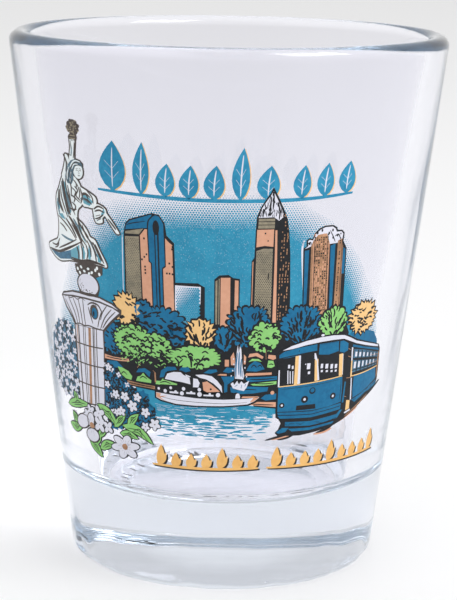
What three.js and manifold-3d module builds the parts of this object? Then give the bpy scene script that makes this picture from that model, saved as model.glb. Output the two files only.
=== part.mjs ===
// A souvenir shot glass: one pressed glass body with an enamel picture fired onto its front.
// Millimetres, +Z up. The origin is the middle of the foot on the table, and the picture faces -Y.
// Places on the picture are [u, z]: u is the arc length round the axis at arcRadius, z the height.

import * as THREE from "three";
import { mergeVertices } from "three/addons/utils/BufferGeometryUtils.js";
import Module from "manifold-3d";

// Glass body
const height = 60;
const rimRadius = 24.7; // the straight outer wall carried up to the rim's height
const footRadius = 17.45; // the same wall carried down to the table
const lipRadius = 1.15; // full round of the drinking edge
const heelRadius = 1.2;
const ringInnerRadius = 13.5; // inside edge of the flat ring that the glass stands on
const dishDepth = 0.6; // hollow under the foot
const floorHeight = 8.9; // bottom of the bowl
const floorWallRadius = 14.4; // the straight inner wall carried down to the bottom of the bowl
const bowlWidth = 8.2; // the quarter oval between the inner wall and the bottom: how far in
const bowlDepth = 2.4; // and how far down it goes
const facets = 72;

// Enamel
const arcRadius = 21;
const filmThickness = 0.06;
const filmPitch = 0.08; // from one layer of enamel to the next
const filmGap = 0.03; // from the glass to the first layer
const prismInner = 17; // the cutting prisms start inside every film
const prismOuter = 27; // and their flat ends stay outside this radius
const longestEdge = 3; // longer edges of an outline are split, so that they follow the wall

const inks = {
  sky: 0x2a8cb4,
  blue: 0x1f6fa6,
  green: 0x82c46a,
  straw: 0xf0c480,
  peach: 0xdaa080,
  taupe: 0x968e7a,
  copper: 0xb98a62,
  white: 0xdcdde8,
  black: 0x2a2a2c,
  gold: 0xecb468,
};

const wasm = await Module();
wasm.setup();
const wallSlope = (rimRadius - footRadius) / height;
const wallStretch = Math.hypot(1, wallSlope);

function outerRadius(z) {
  return footRadius + wallSlope * z;
}

// Points on an oval arc, both ends included.
function arc(centreR, centreZ, halfWidth, halfHeight, from, to, steps) {
  return Array.from({ length: steps + 1 }, (_, i) => {
    const angle = from + ((to - from) * i) / steps;
    const r = centreR + halfWidth * Math.cos(angle);
    return new THREE.Vector2(r, centreZ + halfHeight * Math.sin(angle));
  });
}

function glassProfile() {
  const slant = Math.atan(wallSlope);
  const lipZ = height - lipRadius;
  const lipR = outerRadius(lipZ) - lipRadius * wallStretch;
  const innerTopR = lipR - lipRadius;
  const innerSlope = (innerTopR - floorWallRadius) / (lipZ - floorHeight);
  const innerSlant = Math.atan(innerSlope);
  const heelR = outerRadius(heelRadius) - heelRadius * wallStretch;
  const bowlStart = Math.atan((innerSlope * bowlDepth) / bowlWidth);
  const bowlZ = floorHeight + bowlDepth;
  const bowlTopR = floorWallRadius + innerSlope * bowlDepth * (1 - Math.sin(bowlStart));
  const bowlR = bowlTopR - bowlWidth * Math.cos(bowlStart);
  const dish = [0, 0.35, 0.7].map(
    (share) => new THREE.Vector2(ringInnerRadius * share, dishDepth * (1 - share * share)),
  );
  return [
    ...dish,
    new THREE.Vector2(ringInnerRadius, 0),
    ...arc(heelR, heelRadius, heelRadius, heelRadius, -Math.PI / 2, -slant, 4),
    ...arc(lipR, lipZ, lipRadius, lipRadius, -slant, Math.PI - innerSlant, 8),
    ...arc(bowlR, bowlZ, bowlWidth, bowlDepth, -bowlStart, -Math.PI / 2, 6),
    new THREE.Vector2(0, floorHeight),
  ];
}

// A closed geometry as a manifold-3d solid, and back.
function solidOf(geometry) {
  const bare = geometry.clone();
  bare.deleteAttribute("normal");
  bare.deleteAttribute("uv");
  const merged = mergeVertices(bare, 1e-4);
  return new wasm.Manifold(
    new wasm.Mesh({
      numProp: 3,
      vertProperties: merged.attributes.position.array,
      triVerts: new Uint32Array(merged.index.array),
    }),
  );
}

function geometryOf(solid) {
  const mesh = solid.getMesh();
  const geometry = new THREE.BufferGeometry();
  geometry.setAttribute("position", new THREE.BufferAttribute(mesh.vertProperties, 3));
  geometry.setIndex(new THREE.BufferAttribute(mesh.triVerts, 1));
  geometry.computeVertexNormals();
  return geometry;
}

function lathe(profile) {
  const geometry = new THREE.LatheGeometry(profile, facets);
  geometry.rotateX(Math.PI / 2);
  return geometry;
}

// The thin conical shell that every film of one layer is cut from.
function layerShell(layer) {
  const inner = (filmGap + layer * filmPitch) * wallStretch;
  const outer = inner + filmThickness * wallStretch;
  const [low, high] = [10, 56];
  const corners = [
    [outerRadius(low) + inner, low],
    [outerRadius(low) + outer, low],
    [outerRadius(high) + outer, high],
    [outerRadius(high) + inner, high],
  ];
  const profile = [...corners, corners[0]].map(([r, z]) => new THREE.Vector2(r, z));
  return solidOf(lathe(profile));
}

// An outline with its long edges split.
function splitEdges(outline) {
  return outline.flatMap(([u, z], i) => {
    const [nextU, nextZ] = outline[(i + 1) % outline.length];
    const parts = Math.ceil(Math.hypot(nextU - u, nextZ - z) / longestEdge);
    return Array.from({ length: parts }, (_, k) => {
      const share = k / parts;
      return new THREE.Vector2(u + (nextU - u) * share, z + (nextZ - z) * share);
    });
  });
}

// The outline as a prism that fans out from the axis, further for a wide one, whose end sags more.
function radialPrism(outline) {
  const shape = new THREE.Shape(splitEdges(outline));
  const across = outline.map(([u]) => u);
  const halfAngle = (Math.max(...across) - Math.min(...across)) / arcRadius / 2;
  const reach = prismOuter / Math.cos(halfAngle) - prismInner;
  const geometry = new THREE.ExtrudeGeometry(shape, { depth: 1, bevelEnabled: false });
  const position = geometry.attributes.position;
  for (let i = 0; i < position.count; i++) {
    const angle = position.getX(i) / arcRadius;
    const radius = prismInner + reach * position.getZ(i);
    position.setXYZ(i, radius * Math.sin(angle), -radius * Math.cos(angle), position.getY(i));
  }
  return solidOf(geometry);
}

const part = new THREE.Group();
const shells = new Map();

function addMesh(name, geometry, color, roughness, extra = {}) {
  const material = new THREE.MeshStandardMaterial({ color, roughness, metalness: 0, ...extra });
  const mesh = new THREE.Mesh(geometry, material);
  mesh.name = name;
  part.add(mesh);
}

// One film of enamel: an ink, a layer counted out from the glass, and one or more joined outlines.
function film(name, ink, layer, ...outlines) {
  if (!shells.has(layer)) shells.set(layer, layerShell(layer));
  const prism = outlines.map(radialPrism).reduce((joined, next) => joined.add(next));
  addMesh(name, geometryOf(shells.get(layer).intersect(prism)), inks[ink], 0.35);
}

function box(left, bottom, right, top) {
  return [
    [left, bottom],
    [right, bottom],
    [right, top],
    [left, top],
  ];
}

function oval(u, z, halfWidth, halfHeight, points = 16) {
  return Array.from({ length: points }, (_, i) => {
    const angle = (2 * Math.PI * i) / points;
    return [u + halfWidth * Math.cos(angle), z + halfHeight * Math.sin(angle)];
  });
}

// A leafy crown: an oval with a notched edge, two points to a notch.
function crown(u, z, halfWidth, halfHeight, notches) {
  const points = notches * 2;
  return Array.from({ length: points }, (_, i) => {
    const angle = (2 * Math.PI * i) / points;
    const reach = i % 2 === 0 ? 0.9 : 1;
    return [u + halfWidth * reach * Math.cos(angle), z + halfHeight * reach * Math.sin(angle)];
  });
}

// A pointed leaf from its stalk to its tip.
function leaf(fromU, fromZ, toU, toZ, width) {
  const along = [toU - fromU, toZ - fromZ];
  const length = Math.hypot(...along);
  const side = [(-along[1] / length) * width, (along[0] / length) * width];
  const at = (share, reach) => [
    fromU + along[0] * share + side[0] * reach,
    fromZ + along[1] * share + side[1] * reach,
  ];
  return [at(0, 0), at(0.25, -0.42), at(0.6, -0.46), at(1, 0), at(0.6, 0.46), at(0.25, 0.42)];
}

// Leaves that grow from one small knot; a tip is [u, z, width].
function spray(u, z, tips) {
  const leaves = tips.map((tip) => leaf(u, z, ...tip));
  return [oval(u, z, 0.4, 0.4, 8), ...leaves];
}

// A flower of round petals about its middle.
function blossom(u, z, radius, petals, turn = 0) {
  const middle = oval(u, z, radius * 0.45, radius * 0.45, 8);
  const ring = Array.from({ length: petals }, (_, i) => {
    const angle = turn + (2 * Math.PI * i) / petals;
    const petalU = u + radius * 0.55 * Math.cos(angle);
    return oval(petalU, z + radius * 0.55 * Math.sin(angle), radius * 0.46, radius * 0.42, 10);
  });
  return [middle, ...ring];
}

function addGlass() {
  const clear = { transparent: true, opacity: 0.35 };
  addMesh("glass_body", lathe(glassProfile()), 0xe6e8f2, 0.05, clear);
}

// Washes of tint behind everything else
function addTints() {
  film("sky_tint", "sky", 0, [
    [-19.6, 28], [-20.2, 31.5], [-18.6, 35.5], [-15, 39], [-12, 41.8], [-8.5, 43.8], [-3, 44.6],
    [3, 44.4], [7.2, 43.2], [11, 41.2], [14, 38.6], [17.2, 34.6], [18.8, 31], [18.4, 28],
  ]);
  film("lake_tint", "sky", 0, [
    [-14, 27.6], [-14, 21], [-9.6, 18.6], [-4, 18.2], [1, 18.1], [5, 18.6], [6.4, 20], [6.4, 27.6],
  ]);
}

function addArchedTower() {
  film("arched_tower_shadow", "black", 1, [
    [-10.8, 31], [-10.45, 40.2], [-10.2, 41.4], [-9.8, 41.8], [-7.3, 42.65], [-6.6, 42.5],
    [-6.05, 41.7], [-5.85, 40.4], [-5.1, 39.6], [-5, 31],
  ]);
  film("arched_tower_face", "taupe", 2, [[-10.65, 32], [-10.3, 40.6], [-8.75, 40.8], [-8.75, 32]]);
  film("arched_tower_front", "peach", 2, [
    [-8.65, 32], [-8.6, 40.2], [-7.85, 40.8], [-7.85, 37.4], [-7.6, 37.2], [-7.6, 32],
  ]);
  film(
    "arched_tower_vault", "blue", 3,
    [[-10.2, 40.75], [-10.1, 41.25], [-9.7, 41.65], [-7.3, 42.5], [-7.3, 40.95]],
    [
      [-7.5, 31.6], [-7.5, 37.3], [-7.75, 37.5], [-7.75, 41.2], [-7.6, 42], [-7.3, 42.5],
      [-6.65, 42.35], [-6.2, 41.6], [-6.1, 37.1], [-6.4, 36.9], [-6.4, 31.6],
    ],
  );
  film("arched_tower_side", "peach", 2, [
    [-6.3, 32], [-6.3, 36.8], [-6, 37], [-6, 40.1], [-5.3, 39.4], [-5.2, 32],
  ]);
}

function addBlocks() {
  film("glazed_block_shadow", "black", 1, [
    [-4.9, 30.5], [-4.9, 35.4], [-2.7, 35.4], [-2.05, 35], [-2.05, 30.5],
  ]);
  film("glazed_block_pane", "white", 2, [
    [-4.8, 31], [-4.8, 35.1], [-2.45, 35.05], [-2.6, 33.1], [-2.8, 32.9], [-2.8, 31],
  ]);
  film("low_block_shadow", "black", 1, [
    [-1.1, 29.5], [-1.1, 35.9], [-0.6, 36.35], [0.3, 36.4], [0.8, 36.05], [1.45, 36], [1.5, 29.5],
  ]);
  film("low_block_front", "peach", 2, [[-0.45, 30], [-0.45, 36.1], [0.5, 36.1], [0.55, 30]]);
}

function addSpiredTower() {
  film("spired_tower_shadow", "black", 1, [
    [2.6, 30], [2.55, 37.9], [2.85, 38.3], [2.85, 41.2], [3, 42.6], [3.2, 44], [3.9, 44.9],
    [4.5, 45.6], [5.1, 44.8], [5.7, 43.6], [6.1, 41.8], [6.45, 38.5], [6.8, 33], [6.8, 30],
  ]);
  film("spired_tower_crown", "white", 3, [
    [3.1, 42.6], [3.35, 43.9], [3.9, 44.5], [4.5, 45.2], [4.95, 44.5], [5.5, 43.5], [5.7, 42.6],
  ]);
  film("spired_tower_gallery", "peach", 2, box(2.95, 39.4, 4.65, 41.3));
  film("spired_tower_face", "taupe", 2, [[2.95, 31], [2.95, 39.2], [4.65, 39.2], [4.75, 31]]);
  film("spired_tower_strip", "peach", 2, [[4.85, 31], [4.75, 41.3], [4.95, 41.3], [5.35, 31]]);
}

function addDomedTower() {
  film("domed_tower_shadow", "black", 1, [
    [8.3, 30], [7.8, 39], [8, 40], [8.5, 40.2], [9.2, 41.1], [10, 41.45], [11, 41.4],
    [11.4, 40.9], [12.1, 40.6], [12.4, 39.2], [12.75, 38.8], [13.2, 30],
  ]);
  film("domed_tower_dome", "white", 2, [
    [8.05, 39.2], [8.1, 39.9], [8.6, 40.05], [9.3, 40.95], [10, 41.3], [10.9, 41.25],
    [11.3, 40.75], [12, 40.45], [12.2, 39.7], [10.6, 39.6], [8.6, 39.5],
  ]);
  film("domed_tower_left_bay", "blue", 2, [[8.35, 31], [7.95, 38.9], [8.45, 39], [8.75, 31]]);
  film("domed_tower_front", "copper", 3, [
    [9.1, 31], [8.6, 39.6], [9.3, 40.5], [10.3, 40.55], [10.65, 39.6], [11.2, 31],
  ]);
  film("domed_tower_middle_bay", "blue", 2, [[11.4, 31], [10.9, 39.3], [11.4, 39.4], [11.75, 31]]);
}

// name, ink, layer, then one or more crowns: u, z, half width, half height, notches
const trees = [
  ["straw_tree_left", "straw", 5, [-10.7, 31.9, 1.5, 1.7, 9]],
  ["blue_tree_left", "blue", 4, [-6.6, 30.9, 2.5, 1.6, 9], [-8.7, 32.1, 0.9, 1.1, 6]],
  ["blue_tree_far_left", "blue", 4, [-12.7, 28.5, 1.3, 1.7, 7]],
  ["straw_tree_middle", "straw", 4, [-2.5, 30, 1.4, 1.6, 9]],
  ["green_tree_left", "green", 5, [-10, 28.5, 2.5, 1.8, 9], [-7.4, 28, 1.7, 1.6, 7]],
  ["green_tree_centre", "green", 5, [-3.1, 27.3, 2.9, 1.4, 11]],
  ["blue_tree_middle", "blue", 4, [2.7, 31, 2.3, 2.2, 10], [-0.1, 29.5, 0.95, 1.3, 7]],
  ["green_tree_middle", "green", 5, [4.4, 29.6, 1.7, 1.7, 9]],
  ["blue_tree_right", "blue", 4, [8.2, 30.7, 2.35, 2.2, 10]],
  ["green_tree_right", "green", 4, [12.2, 30.8, 1.7, 1.6, 9]],
  ["straw_tree_right", "straw", 4, [16.3, 30.8, 2.2, 1.8, 11]],
];

function addTrees() {
  film("tree_line_shadow", "black", 2, [
    [-14, 25.4], [-14, 30], [-10, 29.8], [-8, 29.4], [-4, 28.6], [2, 28.2], [8, 28.4], [15, 28.8],
    [19.4, 28.2], [19.4, 25.4],
  ]);
  for (const [name, ink, layer, ...crowns] of trees) {
    film(name, ink, layer, ...crowns.map((size) => crown(...size)));
  }
}

function addShore() {
  film("shrub", "green", 3, [
    [-9.9, 24], [-9.6, 24.7], [-9, 24.9], [-8.2, 24.2], [-7.2, 24.5], [-6, 24.4], [-5.3, 23.9],
  ]);
}

function addBoat() {
  film("boat_hull", "white", 3, [
    [-7.6, 23], [-7.6, 22.4], [-5.6, 22], [-2, 21.8], [0.4, 21.8], [2.6, 22.1], [4, 22.9],
    [1, 22.75], [-4, 22.85],
  ]);
  film("boat_canopy_left", "white", 3, [
    [-6.5, 24.6], [-6.2, 25.2], [-5.3, 25.55], [-4.6, 25.5], [-3.8, 24.9], [-3.6, 24.3], [-4.8, 24.5],
  ]);
  film("boat_canopy_right", "white", 3, [
    [-3.1, 24.2], [-3.1, 25.35], [-2.1, 25.5], [-1, 24.9], [-0.2, 24.2], [0, 23.5], [-1.4, 24.2],
  ]);
  film("fountain_spray", "white", 6, [
    [0.9, 24], [1.4, 26.2], [1.5, 28.8], [1.9, 27.4], [2.2, 25], [2.7, 24.3], [1.8, 23.8],
  ]);
}

function addTram() {
  film("tram_shadow", "black", 6, [
    [6.2, 18.5], [6.3, 19.2], [6.9, 19.7], [6, 20.6], [5.8, 24], [5.7, 27.7], [6.5, 28.2],
    [9, 29], [11.5, 29.3], [14, 29], [19.8, 27.2], [20.5, 26.5], [20.8, 22.6], [17.5, 20.6],
    [14, 18.8], [10, 18.3],
  ]);
  film("tram_roof", "white", 7, [
    [6.5, 28.1], [9, 28.85], [11.6, 29.15], [14, 28.85], [19.6, 27.1], [19.5, 26.9], [14, 28.4],
    [11, 28.6], [8.4, 28.4],
  ]);
  film("tram_front_panel", "blue", 7, [
    [6.05, 21], [6.05, 23.9], [14.2, 24.4], [14.3, 21.4], [10, 21],
  ]);
  film("tram_side_panel", "blue", 7, [[16, 21.4], [15.7, 24.1], [20.3, 24.3], [20.5, 23]]);
  film("tram_skirt", "blue", 7, [
    [6.6, 18.9], [7.1, 19.7], [6.3, 20.7], [14.3, 21.1], [15, 20.2], [13.6, 19.2], [10, 18.75],
  ]);
}

function addStatue() {
  film("column_shaft", "white", 3, [[-18.9, 20.2], [-18.3, 29.3], [-14.1, 29.1], [-14.7, 20.2]]);
  film("column_capital", "white", 4, [
    [-20.5, 32.1], [-18.2, 32.7], [-15, 32.5], [-11.5, 31.5], [-13, 30.1], [-14, 28.9],
    [-18.3, 29.1], [-19.3, 30.7],
  ]);
  film("column_globe", "white", 3, oval(-15.8, 34, 1.5, 1.4));
  film("statue_figure", "white", 2, oval(-15.9, 46.5, 0.75, 1.2), [
    [-17.6, 45], [-16.9, 48.6], [-16.6, 50.4], [-15.6, 50.4], [-16, 48.4], [-16.5, 45],
  ], [
    [-22, 37.4], [-21.4, 36.5], [-18, 36.4], [-17.6, 35.2], [-13.6, 35.1], [-12.9, 36.5],
    [-14.2, 39.4], [-15.6, 41.6], [-14.6, 43.6], [-12.6, 42.6], [-11.1, 40.3], [-10.9, 40.6],
    [-12.2, 43], [-14.8, 45.2], [-16.3, 45.7], [-18.3, 45.5], [-19.6, 43.4], [-19.8, 41.4],
    [-19.5, 38.8],
  ]);
  film("statue_torch", "copper", 4, oval(-16, 50.9, 0.9, 1, 12));
}

function addFlowers() {
  film("hedge_left", "blue", 1, [
    [-24.6, 22], [-24, 25], [-23.4, 28.4], [-21, 29.2], [-18.6, 28.4], [-19, 20.4], [-22, 20.2],
  ]);
  film("hedge_right", "blue", 1, [
    [-14.2, 18], [-14, 25.6], [-11.2, 25], [-9.6, 22.6], [-8, 21.6], [-7.9, 20], [-9.4, 18.4],
    [-12, 17.6],
  ]);
  const leftTips = [[-22.2, 19.2, 1.6], [-21.6, 16.4, 1.4], [-15.8, 14, 1.9]];
  const rightTips = [[-16.4, 20.6, 1.2], [-8.2, 16.9, 1.5], [-9.8, 19.6, 1.3]];
  film("leaf_spray_left", "green", 2, ...spray(-16.6, 19.2, leftTips));
  film("leaf_spray_right", "green", 2, ...spray(-12.6, 17.4, rightTips));
  film("blossom_left", "white", 6, ...blossom(-17.4, 17.9, 2.4, 5, 0.5));
  film("blossom_right", "white", 6, ...blossom(-12.2, 16.2, 2, 5, 1.5));
}

// A blue vine with upright leaves along the top, and two gold ones along the bottom.
function addVines() {
  const tops = [
    [-11.4, 5.4, 3], [-8.3, 5.6, 1.7], [-5.9, 3.6, 1.9], [-3.6, 3.6, 1.9], [-1.2, 3.7, 2],
    [1.3, 5.6, 1.7], [3.9, 3.7, 2.2], [7.2, 3.6, 1.8], [9.6, 3.6, 1.8], [12, 3.5, 1.9],
  ];
  const sprigs = tops.map(([u, rise, width]) => leaf(u, 44.5, u, 44.5 + rise, width));
  film("blue_vine", "sky", 2, box(-13.2, 44.4, 12.8, 44.8), ...sprigs);
  const goldVine = (from, count) =>
    Array.from({ length: count }, (_, i) => leaf(from + 1.7 * i, 14.6, from + 1.7 * i + 1, 17, 0.9));
  film("gold_vine_left", "gold", 1, box(-8.4, 14.5, 4.2, 14.8), ...goldVine(-8, 7));
  film("gold_vine_right", "gold", 1, box(5.2, 14.5, 21.6, 14.8), ...goldVine(5.6, 9));
}

addGlass();
addTints();
addArchedTower();
addBlocks();
addSpiredTower();
addDomedTower();
addTrees();
addShore();
addBoat();
addTram();
addStatue();
addFlowers();
addVines();

export default part;
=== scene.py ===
import math
import random

import bmesh
import bpy
from mathutils import Matrix, Vector, noise


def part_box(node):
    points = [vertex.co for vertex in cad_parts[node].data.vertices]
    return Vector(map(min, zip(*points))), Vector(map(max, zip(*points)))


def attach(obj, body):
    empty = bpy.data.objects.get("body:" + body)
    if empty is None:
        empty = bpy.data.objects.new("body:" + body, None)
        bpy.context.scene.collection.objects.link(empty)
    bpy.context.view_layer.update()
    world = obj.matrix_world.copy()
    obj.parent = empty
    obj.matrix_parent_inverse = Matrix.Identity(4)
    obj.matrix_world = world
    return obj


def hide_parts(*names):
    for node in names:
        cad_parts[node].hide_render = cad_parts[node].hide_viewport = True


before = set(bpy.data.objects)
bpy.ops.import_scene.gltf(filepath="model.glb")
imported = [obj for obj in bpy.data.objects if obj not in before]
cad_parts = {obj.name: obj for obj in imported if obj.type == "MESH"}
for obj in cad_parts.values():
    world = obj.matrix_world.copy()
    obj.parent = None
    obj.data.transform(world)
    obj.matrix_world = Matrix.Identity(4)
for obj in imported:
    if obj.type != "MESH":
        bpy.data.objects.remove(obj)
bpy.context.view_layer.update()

scene = bpy.context.scene
mm = 0.001
print("shot glass: frame loaded")


# camera

camera = {
    "eye": (0, -220.8, 76.6),
    "aim": (0.4, 0, 29.05),
    "lean": 0.0164,  # the view is tipped a little, so the glass leans to the right
    "lens": 117.5,
    "sensor": 36,
    "nearest": 10,
}


def makeCamera(settings):
    eye = Vector(settings["eye"]) * mm
    ahead = (Vector(settings["aim"]) * mm - eye).normalized()
    level = ahead.cross(Vector((0, 0, 1))).normalized()
    above = level.cross(ahead)
    lean = settings["lean"]
    right = level * math.cos(lean) + above * math.sin(lean)
    up = above * math.cos(lean) - level * math.sin(lean)
    lensData = bpy.data.cameras.new("mainCamera")
    lensData.lens = settings["lens"]
    lensData.sensor_width = settings["sensor"]
    lensData.clip_start = settings["nearest"] * mm
    seat = bpy.data.objects.new("mainCamera", lensData)
    seat.matrix_world = Matrix.Translation(eye) @ Matrix((right, up, -ahead)).transposed().to_4x4()
    scene.collection.objects.link(seat)
    scene.camera = seat


makeCamera(camera)
print("camera placed")


# helpers for meshes

def keepMesh(bm, name, material, smooth=False):
    mesh = bpy.data.meshes.new(name)
    bm.to_mesh(mesh)
    bm.free()
    mesh.materials.append(material)
    for face in mesh.polygons:
        face.use_smooth = smooth
    piece = bpy.data.objects.new(name, mesh)
    scene.collection.objects.link(piece)
    return piece


def ovalArc(centreR, centreZ, halfWidth, halfHeight, start, end, steps):
    points = []
    for i in range(steps + 1):
        turn = start + (end - start) * i / steps
        points.append((centreR + halfWidth * math.cos(turn), centreZ + halfHeight * math.sin(turn)))
    return points


# Points along a straight wall. The first and last steps are short, so that the shading stays
# straight between two rounds.
def straightRun(start, end, steps, short=0.003):
    shares = [short] + [i / steps for i in range(1, steps)] + [1 - short]
    return [(start[0] + (end[0] - start[0]) * s, start[1] + (end[1] - start[1]) * s) for s in shares]


# helpers for materials

def setInputs(node, values):
    for label, value in values.items():
        node.inputs[label].default_value = value


def addNode(tree, kind, values=None, **settings):
    node = tree.nodes.new(kind)
    for key, value in settings.items():
        setattr(node, key, value)
    setInputs(node, values or {})
    return node


# Joins each output to its input
def wire(tree, *pairs):
    for source, target in pairs:
        tree.links.new(source, target)


def newMaterial(name, values):
    material = bpy.data.materials.new(name)
    material.use_nodes = True
    surface = material.node_tree.nodes["Principled BSDF"]
    setInputs(surface, values)
    return material, material.node_tree, surface.inputs


def newGroup(name, inputs, outputs):
    group = bpy.data.node_groups.new(name, "ShaderNodeTree")
    for label, (kind, value) in inputs.items():
        socket = group.interface.new_socket(label, in_out="INPUT", socket_type=kind)
        socket.default_value = value
    for label, kind in outputs.items():
        group.interface.new_socket(label, in_out="OUTPUT", socket_type=kind)
    return group


# Mottle, pale flecks and relief of a screen-printed ink
def makeInkGrain():
    group = newGroup(
        "inkGrain",
        {
            "Ink": ("NodeSocketColor", (1, 1, 1, 1)),
            "Deep Ink": ("NodeSocketColor", (0, 0, 0, 1)),
            "Mottle": ("NodeSocketFloat", 0.3),
            "Grain Scale": ("NodeSocketFloat", 2600),
            "Flecks": ("NodeSocketFloat", 0.0),
        },
        {"Color": "NodeSocketColor", "Roughness": "NodeSocketFloat", "Height": "NodeSocketFloat"},
    )
    given = addNode(group, "NodeGroupInput").outputs
    result = addNode(group, "NodeGroupOutput").inputs
    place = addNode(group, "ShaderNodeTexCoord").outputs["Object"]
    colorA, colorB, mixedColor = 6, 7, 2  # sockets of a colour mix

    fine = addNode(group, "ShaderNodeTexNoise", {"Detail": 3})
    broad = addNode(group, "ShaderNodeTexNoise", {"Scale": 420})
    both = addNode(group, "ShaderNodeMath", operation="ADD")
    spread = addNode(group, "ShaderNodeMapRange", {"From Min": 0.8, "From Max": 1.25})
    amount = addNode(group, "ShaderNodeMath", operation="MULTIPLY")
    tone = addNode(group, "ShaderNodeMix", data_type="RGBA")
    wire(
        group,
        (place, fine.inputs["Vector"]),
        (given["Grain Scale"], fine.inputs["Scale"]),
        (place, broad.inputs["Vector"]),
        (fine.outputs["Fac"], both.inputs[0]),
        (broad.outputs["Fac"], both.inputs[1]),
        (both.outputs[0], spread.inputs["Value"]),
        (spread.outputs["Result"], amount.inputs[0]),
        (given["Mottle"], amount.inputs[1]),
        (amount.outputs[0], tone.inputs["Factor"]),
        (given["Ink"], tone.inputs[colorA]),
        (given["Deep Ink"], tone.inputs[colorB]),
    )

    parts = addNode(group, "ShaderNodeSeparateXYZ")
    # flecks crowd higher up
    rise = addNode(group, "ShaderNodeMapRange", {"From Min": 27 * mm, "From Max": 42 * mm})
    speck = addNode(group, "ShaderNodeTexNoise", {"Scale": 7000, "Detail": 1})
    level = addNode(group, "ShaderNodeMath", {1: 7, 2: -4.6}, operation="MULTIPLY_ADD")
    share = addNode(group, "ShaderNodeMath", operation="MULTIPLY", use_clamp=True)
    lifted = addNode(group, "ShaderNodeMath", operation="ADD", use_clamp=True)
    pale = addNode(group, "ShaderNodeMix", {colorB: (0.62, 0.74, 0.8, 1)}, data_type="RGBA")
    rough = addNode(group, "ShaderNodeMapRange", {"To Min": 0.32, "To Max": 0.5})
    wire(
        group,
        (place, parts.inputs["Vector"]),
        (parts.outputs["Z"], rise.inputs["Value"]),
        (given["Flecks"], rise.inputs["To Max"]),
        (place, speck.inputs["Vector"]),
        (speck.outputs["Fac"], level.inputs[0]),
        (level.outputs[0], lifted.inputs[0]),
        (rise.outputs["Result"], lifted.inputs[1]),
        (lifted.outputs[0], share.inputs[0]),
        (rise.outputs["Result"], share.inputs[1]),
        (share.outputs[0], pale.inputs["Factor"]),
        (tone.outputs[mixedColor], pale.inputs[colorA]),
        (pale.outputs[mixedColor], result["Color"]),
        (fine.outputs["Fac"], rough.inputs["Value"]),
        (rough.outputs["Result"], result["Roughness"]),
        (fine.outputs["Fac"], result["Height"]),
    )
    return group


inkGrain = makeInkGrain()

# name: ink colour, deeper ink colour, how mottled, pale flecks, the record's slot
inks = {
    "sky": ((52, 148, 182), (34, 124, 160), 0.6, 0.4, "sky_enamel"),
    "blue": ((26, 112, 154), (16, 86, 128), 0.6, 0, "blue_enamel"),
    "green": ((144, 206, 122), (120, 180, 98), 0.4, 0, "green_enamel"),
    "straw": ((242, 200, 140), (228, 182, 118), 0.5, 0, "straw_enamel"),
    "peach": ((218, 164, 136), (200, 144, 116), 0.5, 0, "peach_enamel"),
    "taupe": ((158, 148, 126), (122, 116, 102), 0.8, 0, "taupe_enamel"),
    "copper": ((186, 140, 106), (128, 98, 76), 0.7, 0, "copper_enamel"),
    "white": ((224, 224, 236), (208, 212, 226), 0.4, 0, "white_enamel"),
    "black": ((34, 36, 40), (22, 24, 28), 0.5, 0, "black_enamel"),
    "gold": ((240, 190, 118), (222, 164, 88), 0.6, 0, "gold_enamel"),
    "steel": ((74, 122, 152), (58, 84, 104), 0.8, 0, "blue_enamel"),
    "umber": ((84, 76, 72), (62, 56, 54), 0.6, 0, "black_enamel"),
    "mint": ((243, 248, 249), (216, 230, 234), 0.6, 0, "white_enamel"),
    "slate": ((112, 144, 160), (70, 92, 106), 0.9, 0, "blue_enamel"),
    "azure": ((52, 148, 186), (30, 118, 158), 0.7, 0, "sky_enamel"),
    "teal": ((112, 172, 190), (84, 150, 172), 0.6, 0, "sky_enamel"),
}


# A colour from 0 to 255 as a shader needs it
def linearColor(levels):
    shares = [level / 255 for level in levels]
    return tuple(s / 12.92 if s <= 0.04045 else ((s + 0.055) / 1.055) ** 2.4 for s in shares) + (1,)


def makeInk(name, shade, deepShade, mottle, flecks):
    material, tree, surface = newMaterial(name + "Enamel", {"Specular IOR Level": 0.2})
    grain = addNode(tree, "ShaderNodeGroup", node_tree=inkGrain)
    setInputs(grain, {
        "Ink": linearColor(shade), "Deep Ink": linearColor(deepShade), "Mottle": mottle, "Flecks": flecks,
    })
    bump = addNode(tree, "ShaderNodeBump", {"Strength": 0.15, "Distance": 0.02 * mm})
    wire(
        tree,
        (grain.outputs["Color"], surface["Base Color"]),
        (grain.outputs["Roughness"], surface["Roughness"]),
        (grain.outputs["Height"], bump.inputs["Height"]),
        (bump.outputs["Normal"], surface["Normal"]),
    )
    return material


inkMaterials = {name: makeInk(name, *values[:-1]) for name, values in inks.items()}


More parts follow.
